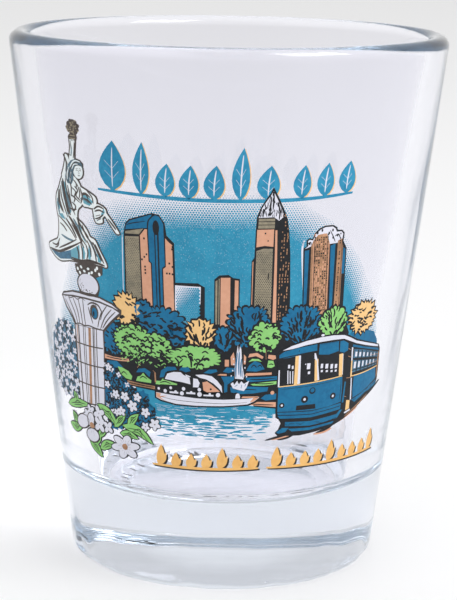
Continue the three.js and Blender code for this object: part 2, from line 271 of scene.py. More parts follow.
def makeGlass():
    material, tree, surface = newMaterial("clearGlass", {
        "Base Color": (0.92, 0.915, 0.955, 1),
        "Transmission Weight": 1,
        "IOR": 1.5,
    })
    place = addNode(tree, "ShaderNodeTexCoord")
    stretch = addNode(tree, "ShaderNodeMapping", {"Scale": (1, 1, 0.35)})  # mould ripples run up the wall
    ripple = addNode(tree, "ShaderNodeTexNoise", {"Scale": 110, "Detail": 1.5})
    bump = addNode(tree, "ShaderNodeBump", {"Strength": 0.35, "Distance": 0.3 * mm})
    # faint smears left by handling
    smear = addNode(tree, "ShaderNodeMapRange", {"From Min": 0.45, "From Max": 0.8, "To Min": 0,
                                                 "To Max": 0.04})
    # thick glass is a little blue-green
    tint = addNode(tree, "ShaderNodeVolumeAbsorption", {"Color": (0.1, 0.33, 0.51, 1), "Density": 6.5})
    wire(
        tree,
        (place.outputs["Object"], stretch.inputs["Vector"]),
        (stretch.outputs["Vector"], ripple.inputs["Vector"]),
        (ripple.outputs["Fac"], bump.inputs["Height"]),
        (bump.outputs["Normal"], surface["Normal"]),
        (ripple.outputs["Fac"], smear.inputs["Value"]),
        (smear.outputs["Result"], surface["Roughness"]),
        (tint.outputs["Volume"], tree.nodes["Material Output"].inputs["Volume"]),
    )
    return material


clearGlass = makeGlass()
print("materials ready")


# glass body

glassBody = {
    "height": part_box("glass_body")[1][2] / mm,
    "rimRadius": 24.7,  # the outer wall carried up to the rim's height
    "footRadius": 17.45,  # and down to the table
    "lipRadius": 1.15,
    "heelRadius": 1.2,
    "ringInnerRadius": 13.5,  # inside edge of the flat ring that the glass stands on
    "dishDepth": 0.6,
    "floorHeight": 8.9,
    "floorWallRadius": 14.4,  # the inner wall carried down to the bottom of the bowl
    "bowlWidth": 8.2,
    "bowlDepth": 2.4,
    "uneven": 0.4,  # how far the foot's side strays inwards
    "unevenHeight": 2.6,
    "unevenScales": (160, 420),
    "turns": 224,
}
wallSlope = (glassBody["rimRadius"] - glassBody["footRadius"]) / glassBody["height"]


def wallRadius(z):
    return glassBody["footRadius"] + wallSlope * z


def glassProfile(size):
    slant = math.atan(wallSlope)
    stretch = math.hypot(1, wallSlope)
    lip, heel, wide, deep = size["lipRadius"], size["heelRadius"], size["bowlWidth"], size["bowlDepth"]
    lipZ = size["height"] - lip
    lipR = wallRadius(lipZ) - lip * stretch
    heelR = wallRadius(heel) - heel * stretch
    innerSlope = (lipR - lip - size["floorWallRadius"]) / (lipZ - size["floorHeight"])
    bowlStart = math.atan(innerSlope * deep / wide)
    bowlZ = size["floorHeight"] + deep
    bowlTopR = size["floorWallRadius"] + innerSlope * deep * (1 - math.sin(bowlStart))
    bowlR = bowlTopR - wide * math.cos(bowlStart)
    ring, edge, dishSteps, wallSteps = size["ringInnerRadius"], 0.05, 16, 20
    dish = []
    for i in range(dishSteps):
        share = i / dishSteps
        dish.append((ring * share, size["dishDepth"] * (1 - share ** 2)))
    foot = ovalArc(heelR, heel, heel, heel, -math.pi / 2, -slant, 14)
    rim = ovalArc(lipR, lipZ, lip, lip, -slant, math.pi - math.atan(innerSlope), 30)
    bowl = ovalArc(bowlR, bowlZ, wide, deep, -bowlStart, -math.pi / 2, 36)
    floor = [(bowlR * share, size["floorHeight"]) for share in (0.98, 0.66, 0.33, 0)]
    ringFace = [(ring, 0), (ring + edge, 0), (heelR - edge, 0)]
    outerWall = straightRun(foot[-1], rim[0], wallSteps)
    innerWall = straightRun(rim[-1], bowl[0], wallSteps)
    return dish + ringFace + foot + outerWall + rim + innerWall + bowl + floor


def makeGlassBody(size):
    bm = bmesh.new()
    verts = [bm.verts.new((r * mm, 0, z * mm)) for r, z in glassProfile(size)]
    edges = [bm.edges.new(pair) for pair in zip(verts, verts[1:])]
    bmesh.ops.spin(
        bm, geom=verts + edges, axis=(0, 0, 1), cent=(0, 0, 0),
        angle=2 * math.pi, steps=size["turns"], use_merge=True,
    )
    bmesh.ops.remove_doubles(bm, verts=bm.verts, dist=1e-7)
    broad, fine = size["unevenScales"]
    for v in bm.verts:  # the fire-polished foot isn't quite even
        radius, low = math.hypot(v.co.x, v.co.y), 1 - v.co.z / (size["unevenHeight"] * mm)
        if low > 0 and radius > size["ringInnerRadius"] * mm:
            wave = noise.noise(v.co * broad) + 0.5 * noise.noise(v.co * fine)
            inward = 1 - abs(wave) * low * size["uneven"] * mm / radius
            v.co *= Vector((inward, inward, 1))
    bmesh.ops.recalc_face_normals(bm, faces=bm.faces)
    piece = keepMesh(bm, "glassBody", clearGlass, smooth=True)
    piece.visible_shadow = False  # clear glass leaves the table under it light
    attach(piece, "root")
    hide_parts("glass_body")


makeGlassBody(glassBody)
print("glass body made")


# printing press: flat outlines in millimetres become thin films round the wall

press = {
    "arcRadius": 21,  # u is the arc length at this radius
    "cut": 0.45,  # films are cut this often, so that they follow the wall
    "lift": 0.066,  # how far the middle of the films is from the glass
    "base": 0.004,  # half of a film's thickness in layer 0
    "layer": 0.002,  # each layer reaches this much further both ways, so it shows from both sides
}


def wrap(u, z, lift):
    turn = u / press["arcRadius"]
    radius = wallRadius(z) + lift
    return Vector((radius * math.sin(turn), -radius * math.cos(turn), z)) * mm


# Outlines become one piece of ink. The upper ones lie one layer further out.
def printInk(name, ink, layer, outlines, node=None, upper=()):
    bm = bmesh.new()
    for depth, shapes in ((layer, outlines), (layer + 1, upper)):
        for outline in shapes:
            bm.faces.new([bm.verts.new((u, depth, z)) for u, z in outline])
    bm.normal_update()  # outlines with notches are only filled rightly with their normals known
    bmesh.ops.triangulate(bm, faces=bm.faces[:], ngon_method="EAR_CLIP")
    low = min(v.co.x for v in bm.verts)
    high = max(v.co.x for v in bm.verts)
    for step in range(math.ceil(low / press["cut"]), math.ceil(high / press["cut"])):
        bmesh.ops.bisect_plane(
            bm, geom=bm.verts[:] + bm.edges[:] + bm.faces[:], dist=1e-4,
            plane_co=(step * press["cut"], 0, 0), plane_no=(1, 0, 0),
        )
    lower = set(bm.verts)
    bmesh.ops.extrude_face_region(bm, geom=bm.faces[:])
    for v in bm.verts:
        half = press["base"] + press["layer"] * v.co.y
        v.co = wrap(v.co.x, v.co.z, press["lift"] + (-half if v in lower else half))
    bmesh.ops.recalc_face_normals(bm, faces=bm.faces)
    piece = keepMesh(bm, name, inkMaterials[ink])
    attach(piece, "root")
    if node:
        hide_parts(node)


# outlines, as lists of (u, z)

def box(left, bottom, right, top):
    return [(left, bottom), (right, bottom), (right, top), (left, top)]


def window(u, z, wide=0.17, tall=0.2):
    return box(u, z, u + wide, z + tall)


def oval(u, z, halfWidth, halfHeight, points=18, lean=0.0):
    outline = []
    for i in range(points):
        turn = 2 * math.pi * i / points
        across, up = halfWidth * math.cos(turn), halfHeight * math.sin(turn)
        outline.append((
            u + across * math.cos(lean) - up * math.sin(lean),
            z + across * math.sin(lean) + up * math.cos(lean),
        ))
    return outline


# A smooth line through a few points
def smoothLine(points, steps=4):
    if len(points) < 3:
        return list(points)
    ends = [points[0]] + list(points) + [points[-1]]
    line = []
    for a, b, c, d in zip(ends, ends[1:], ends[2:], ends[3:]):
        for i in range(steps):
            t = i / steps
            line.append(tuple(
                0.5 * (2 * q + (r - p) * t + (2 * p - 5 * q + 4 * r - s) * t * t
                       + (3 * q - p - 3 * r + s) * t ** 3)
                for p, q, r, s in zip(a, b, c, d)
            ))
    return line + [points[-1]]


# A brush stroke that thins out to its ends
def stroke(points, width=0.12, tip=0.35, steps=4):
    line = smoothLine(points, steps)
    left, right = [], []
    for i, (u, z) in enumerate(line):
        before, after = line[max(i - 1, 0)], line[min(i + 1, len(line) - 1)]
        along = Vector((after[0] - before[0], after[1] - before[1])).normalized()
        share = i / (len(line) - 1)
        half = width / 2 * (tip + (1 - tip) * math.sin(math.pi * share) ** 0.6)
        left.append((u - along.y * half, z + along.x * half))
        right.append((u + along.y * half, z - along.x * half))
    return left + right[::-1]


# Strokes from a list of (points, width, tip, steps), in which the last two may be missing
def strokes(marks):
    return [stroke(*mark) for mark in marks]


def evenStrokes(lines, width=0.12, tip=0.35):
    return [stroke(line, width, tip) for line in lines]


# A tree's or a bush's outline: an oval of uneven lobes, round or pointed
def leafy(u, z, halfWidth, halfHeight, lobes, seed, grow=0.0, pointed=False):
    dice = random.Random(seed)
    widths = [dice.uniform(0.5, 1.5) for _ in range(lobes)]
    if pointed:
        reaches, base, heights = (0.1, 0.28), 0.78, (0, 0.35, 1)
    else:
        reaches, base, heights = (0.07, 0.24), 0.83, (0, 0.75, 0.95, 1, 0.7)
    turn = seed
    outline = []
    for width in widths:
        reach = dice.uniform(*reaches)
        lobe = 2 * math.pi * width / sum(widths)
        for i, height in enumerate(heights):
            size = base + reach * height
            here = turn + lobe * i / len(heights)
            across = (halfWidth * size + grow) * math.cos(here)
            up = (halfHeight * size + grow) * math.sin(here)
            outline.append((u + across, z + up))
        turn += lobe
    return outline


def leaf(fromU, fromZ, toU, toZ, width, bend=0.0):
    along = Vector((toU - fromU, toZ - fromZ))
    side = Vector((-along.y, along.x)).normalized()
    steps = 8
    outline = []
    for sign, stops in ((-1, range(0, steps + 1)), (1, range(steps - 1, 0, -1))):
        for i in stops:
            share = i / steps
            half = width / 2 * math.sin(math.pi * share ** 0.8) ** 0.9
            middle = Vector((fromU, fromZ)) + along * share + side * bend * math.sin(math.pi * share)
            outline.append(tuple(middle + side * half * sign))
    return outline


# Round dots in rows that sit between each other, as large as tone(u, z) asks
def dots(left, bottom, right, top, pitch, tone, sides=6):
    outlines = []
    rowPitch, largest, smallest = pitch * 0.866, pitch * 0.6, pitch * 0.12
    for row in range(int((top - bottom) / rowPitch) + 1):
        z = bottom + row * rowPitch
        for column in range(int((right - left) / pitch) + 1):
            u = left + (column + 0.5 * (row % 2)) * pitch
            radius = largest * math.sqrt(max(tone(u, z), 0))
            if radius > smallest:
                outlines.append(oval(u, z, radius, radius, sides))
    return outlines


# Thin lines round an outline
def ring(outline, width=0.1):
    half = len(outline) // 2
    return [stroke(outline[:half + 1], width, 1, 1), stroke(outline[half:] + outline[:1], width, 1, 1)]


# The outline made larger all round
def grown(outline, by):
    area = sum(a[0] * b[1] - b[0] * a[1] for a, b in zip(outline, outline[1:] + outline[:1]))
    sign = 1 if area > 0 else -1
    bigger = []
    for before, here, after in zip(outline[-1:] + outline[:-1], outline, outline[1:] + outline[:1]):
        inward = Vector((here[0] - before[0], here[1] - before[1])).normalized()
        onward = Vector((after[0] - here[0], after[1] - here[1])).normalized()
        along = (inward + onward).normalized()
        bigger.append((here[0] + along.y * by * sign, here[1] - along.x * by * sign))
    return bigger


def isInside(outline, u, z):
    inside = False
    for (u0, z0), (u1, z1) in zip(outline, outline[1:] + outline[:1]):
        if (z0 > z) != (z1 > z) and u < u0 + (u1 - u0) * (z - z0) / (z1 - z0):
            inside = not inside
    return inside


# The height of a line of points at u, far below it when u is past its ends
def heightAt(line, u, farBelow=-100):
    for (u0, z0), (u1, z1) in zip(line, line[1:]):
        if u0 <= u <= u1:
            return z0 + (z1 - z0) * (u - u0) / (u1 - u0)
    return farBelow


# sky

sky = {
    # where the last dots are, and where the solid ink begins
    "edge": [(-21.5, 30.5), (-20, 34), (-17, 39.5), (-13, 43.8), (-6, 45.2), (3, 45.4), (7, 44.6), (11, 42.2),
             (14.5, 38.3), (17, 35), (18.8, 31), (19.2, 28.5)],
    "solid": [(-16.5, 30.5), (-15.2, 34), (-13.6, 37.2), (-10.5, 40.1), (-5, 41.2), (2, 41.3), (5.6, 40.8),
              (8.6, 38.8), (11.2, 36.6), (13.6, 34), (15, 31), (15.6, 28.5)],
    "solidLeft": -16.5,
    "left": -21.5,
    "right": 19,
    "bottom": 28.5,
    "top": 45.5,
    "pitch": 0.27,
}


def skyTone(u, z):
    if z < heightAt(sky["solid"], u) - 0.1:
        return 0
    edge = heightAt(sky["edge"], u)
    start = max(heightAt(sky["solid"], u), sky["bottom"] - 4)
    return ((edge - z) / (edge - start)) ** 1.3 if z < edge else 0


def makeSky():
    solid = smoothLine(sky["solid"])
    printInk("skySolid", "sky", 0, [[(sky["solidLeft"], sky["bottom"])] + solid], "sky_tint")
    fade = dots(sky["left"], sky["bottom"], sky["right"], sky["top"], sky["pitch"], skyTone)
    printInk("skyDots", "sky", 1, fade)


makeSky()
print("sky printed")


# towers

archedTower = {
    "shadow": [(-10.8, 31), (-10.45, 40.3), (-10.2, 41.4), (-9.75, 41.85), (-7.3, 42.7), (-6.55, 42.55),
               (-6.0, 41.7), (-5.85, 40.4), (-5.1, 39.6), (-5.0, 31)],
    "face": [(-10.62, 31), (-10.32, 39.95), (-8.78, 40.05), (-8.8, 31)],
    "cornice": [[(-10.3, 40.25), (-10.25, 40.5), (-8.25, 40.95), (-8.75, 40.3)]],
    "front": [(-8.66, 31), (-8.64, 40.2), (-8.1, 40.9), (-7.84, 40.9), (-7.84, 37.45), (-7.6, 37.25),
              (-7.6, 31)],
    "side": [(-6.3, 31), (-6.3, 36.75), (-6, 37), (-6, 40.1), (-5.72, 39.75), (-5.3, 39.4), (-5.22, 31)],
    "roof": [(-10.22, 40.7), (-10.12, 41.25), (-9.7, 41.68), (-7.3, 42.55), (-7.75, 41.05), (-8.3, 41.0)],
    "arch": [(-7.48, 31), (-7.48, 37.3), (-7.72, 37.5), (-7.74, 41.4), (-7.5, 42.1), (-7.0, 42.5),
             (-6.55, 42.35), (-6.15, 41.6), (-6.1, 37.1), (-6.42, 36.85), (-6.42, 31)],
    "windows": [(-8.3, 39.8), (-8.1, 38.1), (-8.35, 37.8), (-8.62, 37.5), (-8.32, 36.75), (-8.32, 36.4),
                (-8.32, 36.05), (-5.4, 38.85), (-5.72, 37.3), (-6.0, 36.2), (-5.72, 36.2), (-5.42, 36.15),
                (-5.35, 39.1), (-5.4, 36.95)],
    "tallWindows": [(-7.12, 31, -7.02, 40.6), (-6.82, 31, -6.66, 40.6)],
    "lines": [([(-7.76, 37.5), (-7.78, 41.3), (-7.4, 42.2), (-6.9, 42.55)], 0.14),
              ([(-10.1, 41.2), (-9.4, 41.45), (-8, 41.75)], 0.1)],
    "edge": [(-10.98, 32.4), (-10.62, 40.2), (-10.4, 41.5)],
}


def makeArchedTower(part):
    printInk("archedTowerShadow", "black", 2, [part["shadow"]], "arched_tower_shadow")
    printInk("archedTowerFace", "taupe", 3, [part["face"]] + part["cornice"], "arched_tower_face")
    printInk("archedTowerFront", "peach", 3, [part["front"]], "arched_tower_front")
    printInk("archedTowerSide", "peach", 3, [part["side"]], "arched_tower_side")
    printInk("archedTowerVault", "blue", 4, [part["roof"], part["arch"]], "arched_tower_vault")
    lines = [window(*place) for place in part["windows"]]
    lines.append(oval(-6.92, 41.15, 0.34, 0.8))
    lines += [box(*pane) for pane in part["tallWindows"]] + strokes(part["lines"])
    lines += dots(-10.45, 31.2, -8.95, 39.8, 0.21, lambda u, z: 0.14)
    printInk("archedTowerLines", "black", 5, lines)
    printInk("archedTowerEdge", "white", 1, [stroke(part["edge"], 0.1)])


makeArchedTower(archedTower)

glazedBlock = {
    "shadow": [(-5.5, 30.5), (-5.5, 35.35), (-2.75, 35.42), (-2.05, 35.0), (-2.05, 30.5)],
    "pane": [(-5.1, 30.6), (-5.15, 33.3), (-5.1, 35.08), (-2.45, 35.04), (-2.5, 33.15), (-2.75, 32.95),
             (-2.75, 30.6)],
}


def makeGlazedBlock(part):
    def tone(u, z):
        return min((u + 5.3) * 0.36 + (35.2 - z) * 0.34 - 0.25, 1)

    printInk("glazedBlockShadow", "black", 2, [part["shadow"]], "glazed_block_shadow")
    printInk("glazedBlockPane", "white", 3, [part["pane"]], "glazed_block_pane")
    printInk("glazedBlockGlare", "sky", 4, dots(-4.95, 31, -2.55, 34.9, 0.22, tone))


makeGlazedBlock(glazedBlock)

lowBlock = {
    "shadow": [(-1.1, 29.5), (-1.1, 35.9), (-0.6, 36.35), (0.3, 36.42), (0.8, 36.08), (1.45, 36),
               (1.52, 29.5)],
    "front": [(-0.46, 29.6), (-0.46, 36.1), (0.5, 36.12), (0.56, 29.6)],
    "side": [(0.96, 31), (0.96, 35.85), (1.32, 35.8), (1.38, 31)],
    "slate": [[(-0.98, 31), (-0.98, 35.7), (-0.78, 35.85), (-0.78, 31)], box(-0.66, 31, -0.56, 36)],
}


def makeLowBlock(part):
    printInk("lowBlockShadow", "black", 2, [part["shadow"]], "low_block_shadow")
    printInk("lowBlockFront", "peach", 3, [part["front"], part["side"]], "low_block_front")
    printInk("lowBlockSlate", "taupe", 3, part["slate"])


makeLowBlock(lowBlock)

spiredTower = {
    "shadow": [(2.6, 30), (2.56, 37.9), (2.82, 38.3), (2.86, 41.2), (2.92, 42.6), (3.22, 43.55), (3.58, 44.2),
               (3.86, 44.7), (4.16, 45.15), (4.42, 45.8), (4.74, 45.15), (4.98, 44.7), (5.2, 44.2),
               (5.5, 43.5),
               (5.95, 42.4), (6.2, 41), (6.45, 38.5), (6.72, 34), (6.85, 30)],
    "crown": [(3.08, 42.55), (3.36, 43.5), (3.7, 44.1), (4.0, 44.6), (4.25, 45.0), (4.42, 45.35), (4.6, 45.0),
              (4.85, 44.5), (5.1, 43.9), (5.4, 43.2), (5.62, 42.7), (5.1, 42.2), (4.6, 42.6)],
    "collar": [[(3.08, 41.42), (3.12, 42.45), (4.7, 42.45), (4.7, 41.4)]],
    "gallery": [(2.98, 39.4), (3.0, 41.28), (4.66, 41.3), (4.66, 39.42), (3.8, 39.55)],
    "face": [(3.0, 31), (3.0, 39.0), (3.7, 39.25), (4.62, 39.22), (4.76, 31)],
    "strip": [(4.96, 31), (4.86, 38.2), (4.78, 41.2), (4.98, 41.2), (5.1, 38.2), (5.36, 31)],
    "step": [(2.7, 31), (2.66, 37.8), (2.74, 37.9), (2.76, 31)],
}


def makeSpiredTower(part):
    dice = random.Random(7)
    printInk("spiredTowerShadow", "black", 2, [part["shadow"]], "spired_tower_shadow")
    printInk("spiredTowerCrown", "white", 3, [part["crown"]], "spired_tower_crown")
    printInk("spiredTowerFace", "taupe", 3, [part["face"]] + part["collar"], "spired_tower_face")
    printInk("spiredTowerGallery", "peach", 3, [part["gallery"], part["step"]], "spired_tower_gallery")
    printInk("spiredTowerStrip", "peach", 3, [part["strip"]], "spired_tower_strip")
    flecks, rows, rowPitch = [], 34, 0.34
    for column in (5.45, 5.72, 6.02, 6.28):
        for row in range(rows):
            z = 31.4 + row * rowPitch
            if dice.random() < 0.62 and column + 0.3 < 6.8 - (z - 34) * 0.06:
                flecks.append(window(column + dice.uniform(-0.04, 0.04), z, 0.1, dice.uniform(0.12, 0.32)))
    printInk("spiredTowerFlecks", "copper", 3, flecks)
    lines = [window(3.75, 40.8, 0.14, 0.16), window(4.25, 35.9, 0.1, 0.7), window(4.05, 40.0, 0.12, 0.14)]
    for u, bottom, top in ((3.5, 42.6, 43.7), (4.15, 42.7, 44.8), (4.45, 43.4, 45.3), (5.1, 42.3, 44.2)):
        lines.append(stroke([(u, bottom), (u + 0.04, (bottom + top) / 2), (u + (4.45 - u) * 0.35, top)],
                            0.16))
    for _ in range(70):
        u = dice.uniform(3.15, 5.7)
        z = dice.uniform(42.6, 45.1 - abs(u - 4.42) * 1.7)
        ends = [(u, z), (u + dice.uniform(-0.06, 0.06), z + dice.uniform(0.2, 0.45))]
        lines.append(stroke(ends, dice.uniform(0.1, 0.24)))
    for z in (41.75, 42.1):
        lines.append(box(3.1, z, 4.7, z + 0.07))
    lines += dots(3.1, 31.2, 4.6, 38.9, 0.21, lambda u, z: 0.12 + 0.02 * (38.9 - z))
    printInk("spiredTowerLines", "black", 5, lines)


makeSpiredTower(spiredTower)

domedTower = {
    "shadow": [(8.3, 30), (7.78, 38.9), (7.8, 39.15), (8.1, 39.3), (8.05, 39.95), (8.35, 40.2), (8.7, 40.1),
               (8.9, 40.7),
               (9.4, 41.2), (10.0, 41.45), (10.9, 41.45), (11.35, 41.2), (11.5, 40.85), (12.0, 40.85),
               (12.35, 40.5),
               (12.3, 39.6), (12.78, 38.8), (13.25, 30)],
    "dome": [(7.95, 39.05), (8.3, 39.35), (8.22, 39.85), (8.4, 40.02), (8.75, 39.92), (9.05, 40.6),
             (9.5, 41.03),
             (10.05, 41.28), (10.85, 41.28), (11.2, 41.05), (11.38, 40.68), (11.95, 40.68), (12.18, 40.4),
             (12.1, 39.5),
             (10.6, 39.4), (8.6, 39.3)],
    "leftBay": [(8.35, 31), (7.96, 38.85), (8.42, 38.9), (8.62, 31)],
    "front": [(9.0, 31), (8.62, 39.3), (8.8, 39.9), (9.3, 40.5), (10.25, 40.6), (10.6, 39.7), (11.15, 31)],
    "middleBay": [(11.45, 31), (10.8, 39.2), (11.35, 39.4), (11.72, 31)],
    "side": [[(11.95, 31), (11.62, 39.7), (12.12, 39.9), (12.3, 39), (12.72, 31)],
             [(12.45, 36), (12.36, 38.9), (12.66, 38.7), (12.8, 36)]],
}


def makeDomedTower(part):
    dice = random.Random(11)
    printInk("domedTowerShadow", "black", 2, [part["shadow"]], "domed_tower_shadow")
    printInk("domedTowerDome", "white", 3, [part["dome"]], "domed_tower_dome")
    printInk("domedTowerLeftBay", "blue", 3, [part["leftBay"], part["side"][1]], "domed_tower_left_bay")
    printInk("domedTowerFront", "copper", 4, [part["front"], part["side"][0]], "domed_tower_front")
    printInk("domedTowerMiddleBay", "blue", 4, [part["middleBay"]], "domed_tower_middle_bay")
    lights, panes = [], []
    rows, rowPitch, columns, columnPitch = 36, 0.25, 7, 0.24
    for row in range(rows):
        z = 31.6 + row * rowPitch
        lean = (39.5 - z) * 0.055
        for column in range(columns):
            u = 8.95 + column * columnPitch + lean
            if dice.random() < 0.6:
                panes.append(window(u, z, dice.uniform(0.08, 0.16), dice.uniform(0.1, 0.2)))
            elif dice.random() < 0.6:
                lights.append(window(u, z, 0.12, dice.uniform(0.14, 0.3)))
        if dice.random() < 0.6:
            panes.append(window(11.85 + lean * 0.6, z, 0.12, 0.17))
    for u in (8.85, 10.25, 10.62):
        lights.append(stroke([(u + 0.44, 31.4), (u, 39.6)], 0.08, 0.8))
    printInk("domedTowerLights", "peach", 5, lights)
    lines = panes + [stroke([(u + 0.44, 31.2), (u, 39.8)], 0.07, 0.8) for u in (8.98, 10.42, 12.15)]
    for u, z in ((10.5, 40.6), (10.9, 40.9), (11.0, 40.1), (11.5, 40.3), (9.2, 40.7), (9.7, 40.95),
                 (8.4, 39.6)):
        lines.append(oval(u, z, 0.1, 0.16, 8))
    lines.append(stroke([(10.6, 40.9), (11.0, 40.2), (11.3, 39.6)], 0.1))
    lines.append(stroke([(8.1, 39.5), (8.5, 39.75), (8.6, 39.35)], 0.1))
    lines.append(stroke([(11.2, 40.2), (11.6, 40.4), (11.9, 39.9)], 0.12))
    printInk("domedTowerLines", "black", 6, lines)
    printInk("domedTowerEdge", "white", 1, [stroke([(8.2, 33.6), (7.68, 38.9), (7.85, 40)], 0.2)])


makeDomedTower(domedTower)
print("towers printed")


# trees

# ink, centre, half width, half height, lobes, marks, how the marks run, node, and whether it
# stands in the back, middle or front row
trees = {
    "strawLeft": ("straw", -10.75, 31.95, 1.7, 1.9, 17, 30, "fleck", "straw_tree_left", 0),
    "blueSmall": ("blue", -8.75, 32.05, 1.0, 1.15, 12, 10, "fleck", None, 0),
    "blueLeft": ("blue", -6.7, 30.75, 2.55, 1.75, 21, 44, "fleck", "blue_tree_left", 0),
    "blueLow": ("blue", -4.9, 29.7, 1.6, 1.3, 14, 30, "fleck", None, 0),
    "blueFarLeft": ("blue", -12.85, 28.4, 1.5, 1.85, 18, 23, "fleck", "blue_tree_far_left", 0),
    "blueThin": ("blue", -0.1, 29.3, 0.95, 1.5, 13, 23, "fan", None, 0),
    "blueMiddle": ("blue", 2.55, 30.8, 2.35, 2.35, 22, 78, "fan", "blue_tree_middle", 0),
    "blueRight": ("blue", 8.2, 30.6, 2.42, 2.4, 22, 85, "fan", "blue_tree_right", 0),
    "greenRight": ("green", 12.1, 30.7, 1.8, 1.75, 16, 44, "fan", "green_tree_right", 1),
    "strawRight": ("straw", 16.3, 30.7, 2.3, 1.95, 21, 60, "fleck", "straw_tree_right", 1),
    "strawMiddle": ("straw", -2.55, 29.95, 1.65, 1.85, 17, 34, "fan", "straw_tree_middle", 1),
    "greenLeftSmall": ("green", -7.4, 28.05, 1.75, 1.6, 15, 40, "fleck", None, 1),
    "greenMiddle": ("green", 4.3, 29.5, 1.72, 1.75, 18, 40, "arch", "green_tree_middle", 1),
    "greenLeft": ("green", -10.15, 28.45, 2.4, 1.8, 22, 68, "arch", "green_tree_left", 2),
    "greenCentre": ("green", -3.1, 27.25, 2.9, 1.35, 24, 20, "arch", "green_tree_centre", 2),
}


def leafMarks(u, z, halfWidth, halfHeight, count, run, seed):
    dice = random.Random(seed)
    marks = []
    for _ in range(count):
        turn = dice.uniform(0, 2 * math.pi)
        share = math.sqrt(dice.uniform(0.02, 0.78))
        middle = Vector((u + halfWidth * share * math.cos(turn), z + halfHeight * share * math.sin(turn)))
        low = 0.5 - 0.5 * math.sin(turn) * share  # marks crowd and thicken towards the foot
        if dice.random() > 0.35 + 0.75 * low:
            continue
        width = dice.uniform(0.12, 0.18) + 0.1 * low
        length = dice.uniform(0.3, 0.7) * (1.5 if run == "fan" else 1)
        if run == "fan":
            along = (middle - Vector((u + 0.1, z - halfHeight))).normalized()
            bend = Vector((-along.y, along.x)) * dice.uniform(-0.2, 0.2)
        elif run == "arch":
            along = Vector((1, dice.uniform(-0.35, 0.35))).normalized()
            bend = Vector((0, 0.12 + 0.1 * dice.random()))
        else:
            along = Vector((1, dice.uniform(-0.9, 0.7))).normalized()
            bend = Vector((-along.y, along.x)) * dice.uniform(-0.1, 0.1)
        reach = along * length / 2
        line = [tuple(middle - reach), tuple(middle + bend), tuple(middle + reach)]
        marks.append(stroke(line, width, 0.5, 3))
    return marks


def makeTrees():
    for seed, (name, tree) in enumerate(trees.items()):
        ink, u, z, halfWidth, halfHeight, lobes, count, run, node, row = tree
        layer = 7 + 3 * row
        pointed = ink == "straw"
        fill = leafy(u, z, halfWidth, halfHeight, lobes, seed, 0, pointed)
        dark = leafy(u, z, halfWidth, halfHeight, lobes, seed, 0.24, pointed)
        printInk(name + "Shadow", "black", layer, [dark])
        printInk(name, ink, layer + 1, [fill], node)
        marks = leafMarks(u, z, halfWidth, halfHeight, count, run, seed)
        printInk(name + "Marks", "black", layer + 2, marks)


undergrowth = {
    "shadow": [(-14.3, 23.35), (-14.3, 29.6), (-12.5, 30.2), (-9.3, 31), (-7, 31), (-5, 31.4), (-3.6, 30.2),
               (-1.3, 30), (0.5, 30.6), (3, 31), (5.9, 31.2), (9.8, 31), (12, 31.2), (14, 30), (14.4, 29.2),
               (14, 28), (6, 26), (6, 21.45), (3.4, 21.8), (2.5, 22.9), (-7.6, 23.1), (-11.1, 23.35)],
    "bush": [(14.5, 29.05), (17.0, 29.15), (18.5, 28.75), (19.35, 27.7), (19.5, 27.2), (16.5, 27.9)],
    "trunks": [
        [(-10.2, 25.2), (-9.9, 26.2), (-9.4, 27.0), (-8.9, 27.3)], [(-9.95, 26.1), (-10.4, 27.1),
                                                                    (-11.2, 27.7)],
        [(-7.6, 24.2), (-7.65, 25.4), (-7.1, 26.5), (-6.8, 27.6)], [(-7.6, 25.6), (-8.3, 26.6), (-9, 26.9)],
        [(-4.95, 26.0), (-4.9, 26.6), (-5.3, 27.1)], [(-4.85, 26.5), (-4.4, 27.0)],
        [(-3.5, 26.1), (-3.55, 26.9), (-3.9, 27.6)], [(-3.0, 26.0), (-2.6, 26.8), (-1.9, 27.2), (-1.6, 27.1)],
        [(-2.55, 26.8), (-2.1, 27.5)], [(-2.7, 26.6), (-3.2, 27.1)], [(4.55, 26.9), (4.5, 28.2), (4.1, 28.9)],
        [(4.55, 28.1), (5.1, 28.7)],
    ],
}


def makeUndergrowth(part):
    printInk("treeLineShadow", "black", 6, [part["shadow"]], "tree_line_shadow")
    printInk("bushRight", "blue", 7, [part["bush"]])
    dice = random.Random(5)
    leaves = []
    for _ in range(70):
        u, z = dice.uniform(-11.8, -5.9), dice.uniform(25.9, 27.4)
        leaves.append(stroke([(u, z), (u + dice.uniform(0.1, 0.35), z + dice.uniform(-0.2, 0.25))], 0.17,
                             0.5))
    printInk("undergrowthTwigs", "black", 15, evenStrokes(part["trunks"], 0.2, 0.6))
    printInk("undergrowthShade", "black", 14, [leafy(-9.1, 26.3, 2.9, 0.9, 17, 3),
                                               leafy(-6.6, 26.3, 1.1, 0.75, 9, 4)])
    printInk("undergrowthLeaves", "green", 16, leaves)
    printInk("undergrowthBark", "copper", 16, [
        stroke([(-9.75, 25.5), (-9.3, 26.05)], 0.14), stroke([(-7.6, 24.1), (-7.62, 25.2)], 0.2, 0.8),
        stroke([(-7.62, 25.2), (-7.85, 25.4)], 0.12), stroke([(4.5, 27.1), (4.42, 28.2)], 0.14),
    ])


makeUndergrowth(undergrowth)
makeTrees()
print("trees printed")


# shore, boat, fountain and lake

